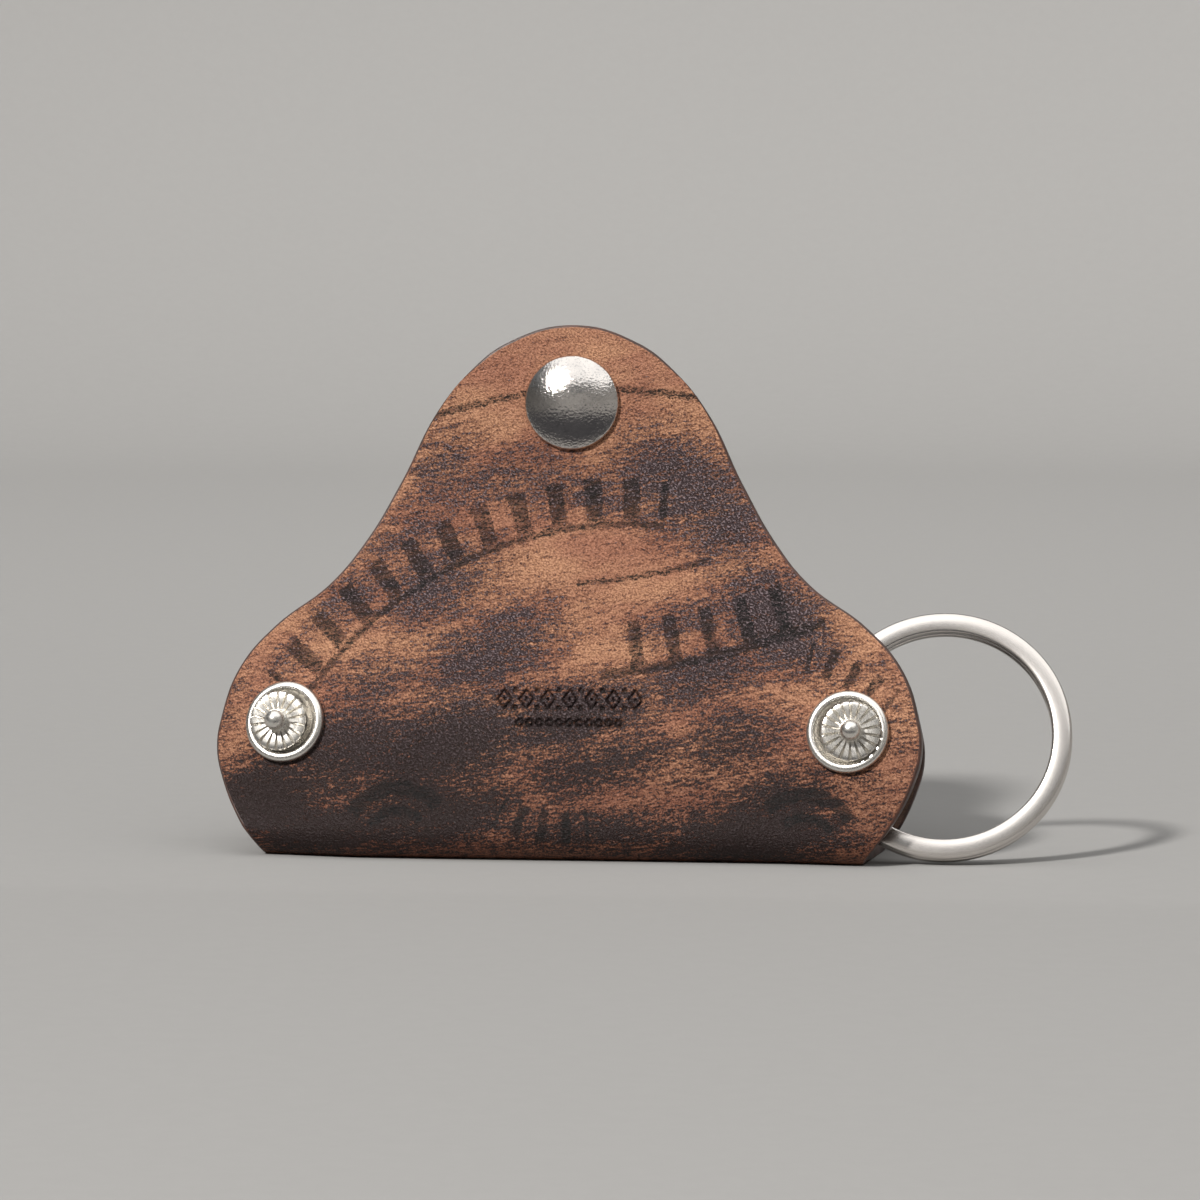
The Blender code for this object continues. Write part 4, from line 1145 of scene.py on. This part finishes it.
class KEYHOLDER_OT_rosette_screws(bpy.types.Operator):
    """Build the two rosette screws, and press their petals"""
    bl_idname = "key_holder.rosette_screws"
    bl_label = "Rosette screws"

    def execute(self, context):
        look = context.scene.key_holder_metal
        for side in ("left", "right"):
            point, axis = AXES[side]
            span = (REAR_ENDS[side] - point).length
            screw = spun(f"{side}_rosette_piece", rosette_profile(span), look.petals * 16, False)
            self.press_petals(screw, look.petals)
            smooth(screw, 26.0)
            settle(screw, frame_at(point, axis))
            dress(screw, "nickel plate", f"{side}_post", "nickel", f"{side}_rosette_screw")
        return {"FINISHED"}

    def press_petals(self, screw, petals):
        """Sink a groove between every two petals, and scallop the rim."""
        petal_share, flank_share = 0.62, 0.30
        depth_share, scallop_share = 0.85, 0.03
        face_low, face_height, ease = 0.00012, 0.0007, 0.0004
        at = coordinates(screw.data)
        radius = np.hypot(at[:, 0], at[:, 1])
        turn = np.arctan2(at[:, 1], at[:, 0]) / (2 * math.pi) * petals
        off = np.abs(turn - np.rint(turn)) * 2
        groove = smooth_step((off - petal_share) / flank_share)
        above = at[:, 2] - HEAD_BASE - face_low
        face = (above > 0) & (above < face_height) & (radius > PETAL_START)
        reach = smooth_step((radius - PETAL_START) / ease)
        at[:, 2] -= np.where(face, groove * reach * above * depth_share, 0.0)
        shrink = np.where(radius > PETAL_RIM, 1 - groove * scallop_share, 1.0)
        at[:, :2] *= shrink[:, None]
        move_to(screw.data, at)


def slotted_head():
    """A low crowned head and its shank, from the top down."""
    shank, shank_end = 0.0008, -0.0045
    return [(radius, HEAD_BASE + rise) for radius, rise in (
        (0.0, 0.0009), (0.0012, 0.00088), (0.0022, 0.00079), (0.0030, 0.00060),
        (0.00345, 0.00035), (0.0036, 0.0001), (0.00355, 0.0), (shank, 0.0),
        (shank, shank_end), (0.0, shank_end))]


class KEYHOLDER_OT_rear_screws(bpy.types.Operator):
    """Build the two slotted screws behind"""
    bl_idname = "key_holder.rear_screws"
    bl_label = "Rear screws"

    def execute(self, context):
        look = context.scene.key_holder_metal
        for side, degrees in (("left", 25.0), ("right", -40.0)):
            screw = spun(f"{side}_rear_screw_piece", slotted_head(), look.steps, False)
            slot = added(bpy.ops.mesh.primitive_cube_add, "slot", size=1.0,
                         location=(0, 0, HEAD_BASE + 0.0009))
            slot.scale = (0.0074, 0.0008, 0.001)
            apply_modifier(slot, "BEVEL", width=0.05, segments=2)
            cut_away(screw, slot)
            turn = Matrix.Rotation(math.radians(degrees), 4, "Z")
            settle(screw, frame_at(REAR_ENDS[side], -AXES[side][1]) @ turn)
            smooth(screw, 40.0)
            dress(screw, "nickel plate", f"{side}_post", "nickel", f"{side}_rear_screw")
        return {"FINISHED"}


def snap_profiles():
    """The five pieces of the snap, each from its own face of the leather inwards."""
    inner = -(LEATHER + CLEARANCE)
    plate = inner - 0.0004
    clinch = plate - 0.0002
    seat = 0.00004
    dome = arc((0.0, -0.0079), (0.0105, 0.0105), 90.0, 56.1, 26)
    rim = arc((0.005544, 0.000362), (0.00055, 0.00055), 50.0, -32.0, 12)
    cap = dome + rim + [(0.0052, seat), (0.0014, seat), (0.0014, clinch), (0.0021, clinch),
                        (0.0021, clinch - 0.0003), (0.0017, clinch - 0.0004),
                        (0.0, clinch - 0.0004)]
    mouth = inner - SOCKET_HEIGHT
    socket = [(0.005, inner), (0.005, plate), (0.0037, plate), (0.0037, mouth),
              (0.0034, mouth - 0.0001), (0.00235, mouth), (0.00215, mouth + 0.0002),
              (0.0029, mouth + 0.0004), (0.0029, plate), (0.0017, plate), (0.0017, inner)]
    coil = arc((0.00235, mouth + 0.0007), (0.0002, 0.0002), 0.0, 330.0, 11)
    stud_top, flange = inner - 0.0018, inner - STUD_METAL
    roof = stud_top + 0.00045
    stud = [(0.0, stud_top), (0.0011, stud_top), (0.0016, stud_top + 0.00008),
            (0.00185, stud_top + 0.00028), (0.00185, roof), (0.0016, roof + 0.00022),
            (0.0016, flange), (0.0044, flange), (0.0046, flange + 0.0001), (0.0046, inner),
            (0.0012, inner), (0.0012, roof), (0.0, roof)]
    crown = [(radius, rise) for radius, rise
             in arc((0.0, -0.0121), (0.0125, 0.0129), 90.0, 69.5, 10) if radius < 0.0044]
    post = crown + [(0.0046, 0.00022), (0.0046, seat), (0.0009, seat), (0.0009, roof + 0.0003),
                    (0.0, roof + 0.0003)]
    return cap, rounded(socket, 0.0001, 2), coil, stud, post


class KEYHOLDER_OT_snap(bpy.types.Operator):
    """Build the snap: cap, socket and spring in front, stud and post behind"""
    bl_idname = "key_holder.snap"
    bl_label = "Snap"

    def execute(self, context):
        steps = context.scene.key_holder_metal.steps
        pieces = (
            ("snap_cap", False, "polished cap", "polished_steel", "front"),
            ("snap_socket", True, "nickel plate", "nickel", "front"),
            ("snap_spring", True, "polished steel", "polished_steel", "front"),
            ("snap_stud", False, "nickel plate", "nickel", "rear"),
            ("snap_post", False, "nickel plate", "nickel", "rear"))
        for (name, closed, kind, slot, wall), profile in zip(pieces, snap_profiles()):
            piece = spun(f"{name}_piece", profile, steps, closed, 35.0)
            settle(piece, SEATS["snap", wall])
            dress(piece, kind, f"{wall}_panel", slot, name)
        return {"FINISHED"}


def ring_place():
    """The ring's centre and plane: behind the right eyelet, its foot forward on the ground."""
    point, axis = AXES["right"]
    half_thick = RING_WIRE_THICKNESS + RING_COIL_GAP / 2
    spread = (half_thick + RING_WIRE_WIDTH * math.sin(RING_LEAN)) / math.cos(RING_LEAN)
    place = frame_at(point - axis * (CLINCH_REACH + RING_SWING_CLEARANCE + spread), axis)
    reach = RING_RADIUS - RING_WIRE_WIDTH - BARREL_RADIUS - RING_HANG_GAP
    angle = 0.0
    for _ in range(MEET_STEPS):
        turn = Matrix.Rotation(angle, 4, "Z") @ Matrix.Translation((reach, 0.0, 0.0))
        hung = place @ turn @ Matrix.Rotation(-RING_LEAN, 4, "X")
        normal = hung.col[2]
        lowest = hung.translation.z - half_thick * abs(normal.z)
        lowest -= RING_RADIUS * math.hypot(normal.x, normal.y)
        angle -= lowest / (reach * place.col[1].z)
    return hung


def coiled_wire(corners, count):
    """The corners of every section of two turns of flat wire with rounded edges."""
    radius = RING_RADIUS - RING_WIRE_WIDTH / 2
    pitch = RING_WIRE_THICKNESS + RING_SEEN_GAP
    sweep = 4 * math.pi - 2 * RING_END_ANGLE
    angles = RING_END_ANGLE + sweep * np.arange(count + 1) / count
    height = pitch * (smooth_step((angles - 2 * math.pi + RING_STEP_SPAN)
                                  / (2 * RING_STEP_SPAN)) - 0.5)
    turn = np.arange(corners) / corners * 2 * math.pi
    wide, thick = (np.sign(wave) * np.abs(wave)**RING_WIRE_SQUARENESS * size / 2
                   for wave, size in ((np.cos(turn), RING_WIRE_WIDTH),
                                      (np.sin(turn), RING_WIRE_THICKNESS)))
    return [np.stack((-(radius + wide) * math.cos(angle), (radius + wide) * math.sin(angle),
                      level + thick), axis=-1) for angle, level in zip(angles, height)]


class KEYHOLDER_OT_split_ring(bpy.types.Operator):
    """Build the split ring: two turns of flat wire with rounded edges"""
    bl_idname = "key_holder.split_ring"
    bl_label = "Split ring"

    def execute(self, context):
        corners = 24
        sections = coiled_wire(corners, 320)
        ring = added(bpy.ops.mesh.primitive_circle_add, "split_ring_piece", vertices=corners,
                     radius=1.0, fill_type="NGON")
        shape = bmesh.new()
        shape.from_mesh(ring.data)
        for vert, place in zip(shape.verts, sections[0]):
            vert.co = place
        last = list(shape.faces)
        for old, new in zip(sections, sections[1:]):
            made = bmesh.ops.extrude_face_region(shape, geom=last)["geom"]
            for vert in [item for item in made if isinstance(item, bmesh.types.BMVert)]:
                nearest = np.argmin(np.linalg.norm(old - np.array(vert.co), axis=1))
                vert.co = new[nearest]
            if old is not sections[0]:
                bmesh.ops.delete(shape, geom=last, context="FACES_ONLY")
            last = [item for item in made if isinstance(item, bmesh.types.BMFace)]
        bmesh.ops.recalc_face_normals(shape, faces=shape.faces)
        shape.to_mesh(ring.data)
        shape.free()
        smooth(ring, 50.0)
        settle(ring, ring_place())
        dress(ring, "polished steel", "ring", "polished_steel", "split_ring")
        return {"FINISHED"}


class KEYHOLDER_OT_studio(bpy.types.Operator):
    """Build the paper sweep, the lights and the camera"""
    bl_idname = "key_holder.studio"
    bl_label = "Studio"

    def execute(self, context):
        look = context.scene.key_holder_studio
        self.tray(look)
        self.flag()
        self.lights(context, look)
        self.sky(context, look)
        self.camera(context, look)
        return {"FINISHED"}

    def tray(self, look):
        """A round sheet of pale paper that curves up all round, far from the case."""
        flat, bend, top = 0.70, 0.30, 0.55
        profile = [(flat * step / 6, 0.0) for step in range(6)]
        profile += arc((flat, bend), (bend, bend), -90.0, 0.0, 16) + [(flat + bend, top)]
        paper = spun("paper_tray", profile, 96, False, 80.0)
        finish = Finish("paper")
        mottle = finish.noise(finish.in_mm(), 0.35, 4.0, 0.65)
        shadow = [value * 0.8 for value in look.paper]
        tone = finish.over(look.paper, shadow, mottle, 0.2, 0.8, 0.0, 0.12)
        finish.shade(Base_Color=tone, Roughness=0.9, Specular_IOR_Level=0.2)
        paper.data.materials.append(finish.material)

    def flag(self):
        """A black card low in front, seen only in what the metal mirrors."""
        near, far, half_width, rise = 0.036, 0.66, 0.65, 0.002
        card = added(bpy.ops.mesh.primitive_grid_add, "black_card", size=2,
                     x_subdivisions=4, y_subdivisions=4)
        at = coordinates(card.data)
        depth = -near - (1 - at[:, 1]) / 2 * (far - near)
        places = (at[:, 0] * half_width, depth, np.full_like(depth, rise))
        move_to(card.data, np.stack(places, axis=-1))
        finish = Finish("black card")
        finish.shade(Base_Color=(0.05, 0.05, 0.054), Roughness=1.0, Specular_IOR_Level=0.0)
        card.data.materials.append(finish.material)
        card.visible_camera = False
        card.visible_diffuse = False
        card.visible_shadow = False

    def lights(self, context, look):
        """A hard key from the upper left, a soft light overhead and a wash on the paper."""
        warm, even = (1.0, 0.985, 0.965), (1.0, 0.99, 0.98)
        wash = (0.8, 0.25)
        # name, place, aim, size, spread (degrees), power, tint
        for name, place, aim, size, spread, watts, tint in (
                ("key", (-1.28, -1.90, 1.96), (0.004, 0.0, 0.03), (0.30, 0.30), 180.0,
                 look.key_power, warm),
                ("overhead", (0.22, -0.25, 0.72), (0.22, -0.25, 0.0), (1.30, 1.05), 180.0,
                 look.fill_power, even),
                ("backdrop", (0.0, 0.25, 1.05), (0.0, 0.85, 0.05), wash, 85.0,
                 look.back_power, even),
                ("front wash", (0.0, -0.30, 1.05), (0.0, -0.95, 0.25), wash, 85.0,
                 look.front_power, even)):
            light = bpy.data.lights.new(name, "AREA")
            light.shape = "RECTANGLE"
            light.size, light.size_y = size
            light.spread = math.radians(spread)
            light.energy = watts
            light.color = tint
            lamp = bpy.data.objects.new(name, light)
            context.collection.objects.link(lamp)
            lamp.location = place
            way = Vector(aim) - Vector(place)
            lamp.rotation_euler = way.to_track_quat("-Z", "Y").to_euler()

    def sky(self, context, look):
        """Soft light all round, stronger from above."""
        world = bpy.data.worlds.new("studio")
        world.use_nodes = True
        nodes = Nodes(world.node_tree)
        up = nodes.parts(nodes.add("TexCoord").outputs["Generated"])[2]
        background = world.node_tree.nodes["Background"]
        nodes.fill(background, Color=(0.93, 0.96, 1.0),
                   Strength=nodes.spread(up, 0.1, 0.8, look.sky * 0.4, look.sky))
        context.scene.world = world
        view = context.scene.view_settings
        view.view_transform = "Standard"
        view.look = "None"

    def camera(self, context, look):
        data = bpy.data.cameras.new("camera")
        data.sensor_width = 36.0
        data.lens = look.lens * 1000
        data.clip_start, data.clip_end = 0.05, 20.0
        camera = bpy.data.objects.new("camera", data)
        context.collection.objects.link(camera)
        target = Vector((0.0041, 0.0, 0.0328))
        back = outward_axis(-look.azimuth, look.elevation)
        camera.location = target + back * look.distance
        camera.rotation_euler = (-back).to_track_quat("-Z", "Y").to_euler()
        context.scene.camera = camera


OPERATORS = (
    KEYHOLDER_OT_leather_front, KEYHOLDER_OT_leather_rear, KEYHOLDER_OT_eyelets,
    KEYHOLDER_OT_rosette_screws, KEYHOLDER_OT_rear_screws, KEYHOLDER_OT_snap,
    KEYHOLDER_OT_split_ring, KEYHOLDER_OT_studio)


class KEYHOLDER_PT_panel(bpy.types.Panel):
    """Lists the steps that build the key holder's looks"""
    bl_idname = "KEYHOLDER_PT_panel"
    bl_label = "Key holder"
    bl_space_type = "VIEW_3D"
    bl_region_type = "UI"
    bl_category = "Key holder"

    def draw(self, context):
        layout = self.layout
        for operator in OPERATORS:
            layout.operator(operator.bl_idname)
        for name in GROUPS:
            group = getattr(context.scene, f"key_holder_{name}")
            box = layout.box()
            box.label(text=name.capitalize())
            for value in group.__annotations__:
                box.prop(group, value)


CLASSES = (*GROUPS.values(), *OPERATORS, KEYHOLDER_PT_panel)


def register():
    for item in CLASSES:
        bpy.utils.register_class(item)
    for name, group in GROUPS.items():
        setattr(bpy.types.Scene, f"key_holder_{name}", PointerProperty(type=group))


def unregister():
    for name in GROUPS:
        delattr(bpy.types.Scene, f"key_holder_{name}")
    for item in reversed(CLASSES):
        bpy.utils.unregister_class(item)


def main():
    register()
    bpy.ops.key_holder.leather_front()
    bpy.ops.key_holder.leather_rear()
    bpy.ops.key_holder.eyelets()
    bpy.ops.key_holder.rosette_screws()
    bpy.ops.key_holder.rear_screws()
    bpy.ops.key_holder.snap()
    bpy.ops.key_holder.split_ring()
    bpy.ops.key_holder.studio()
    take_off()
    bpy.context.view_layer.update()


if __name__ == "__main__":
    main()
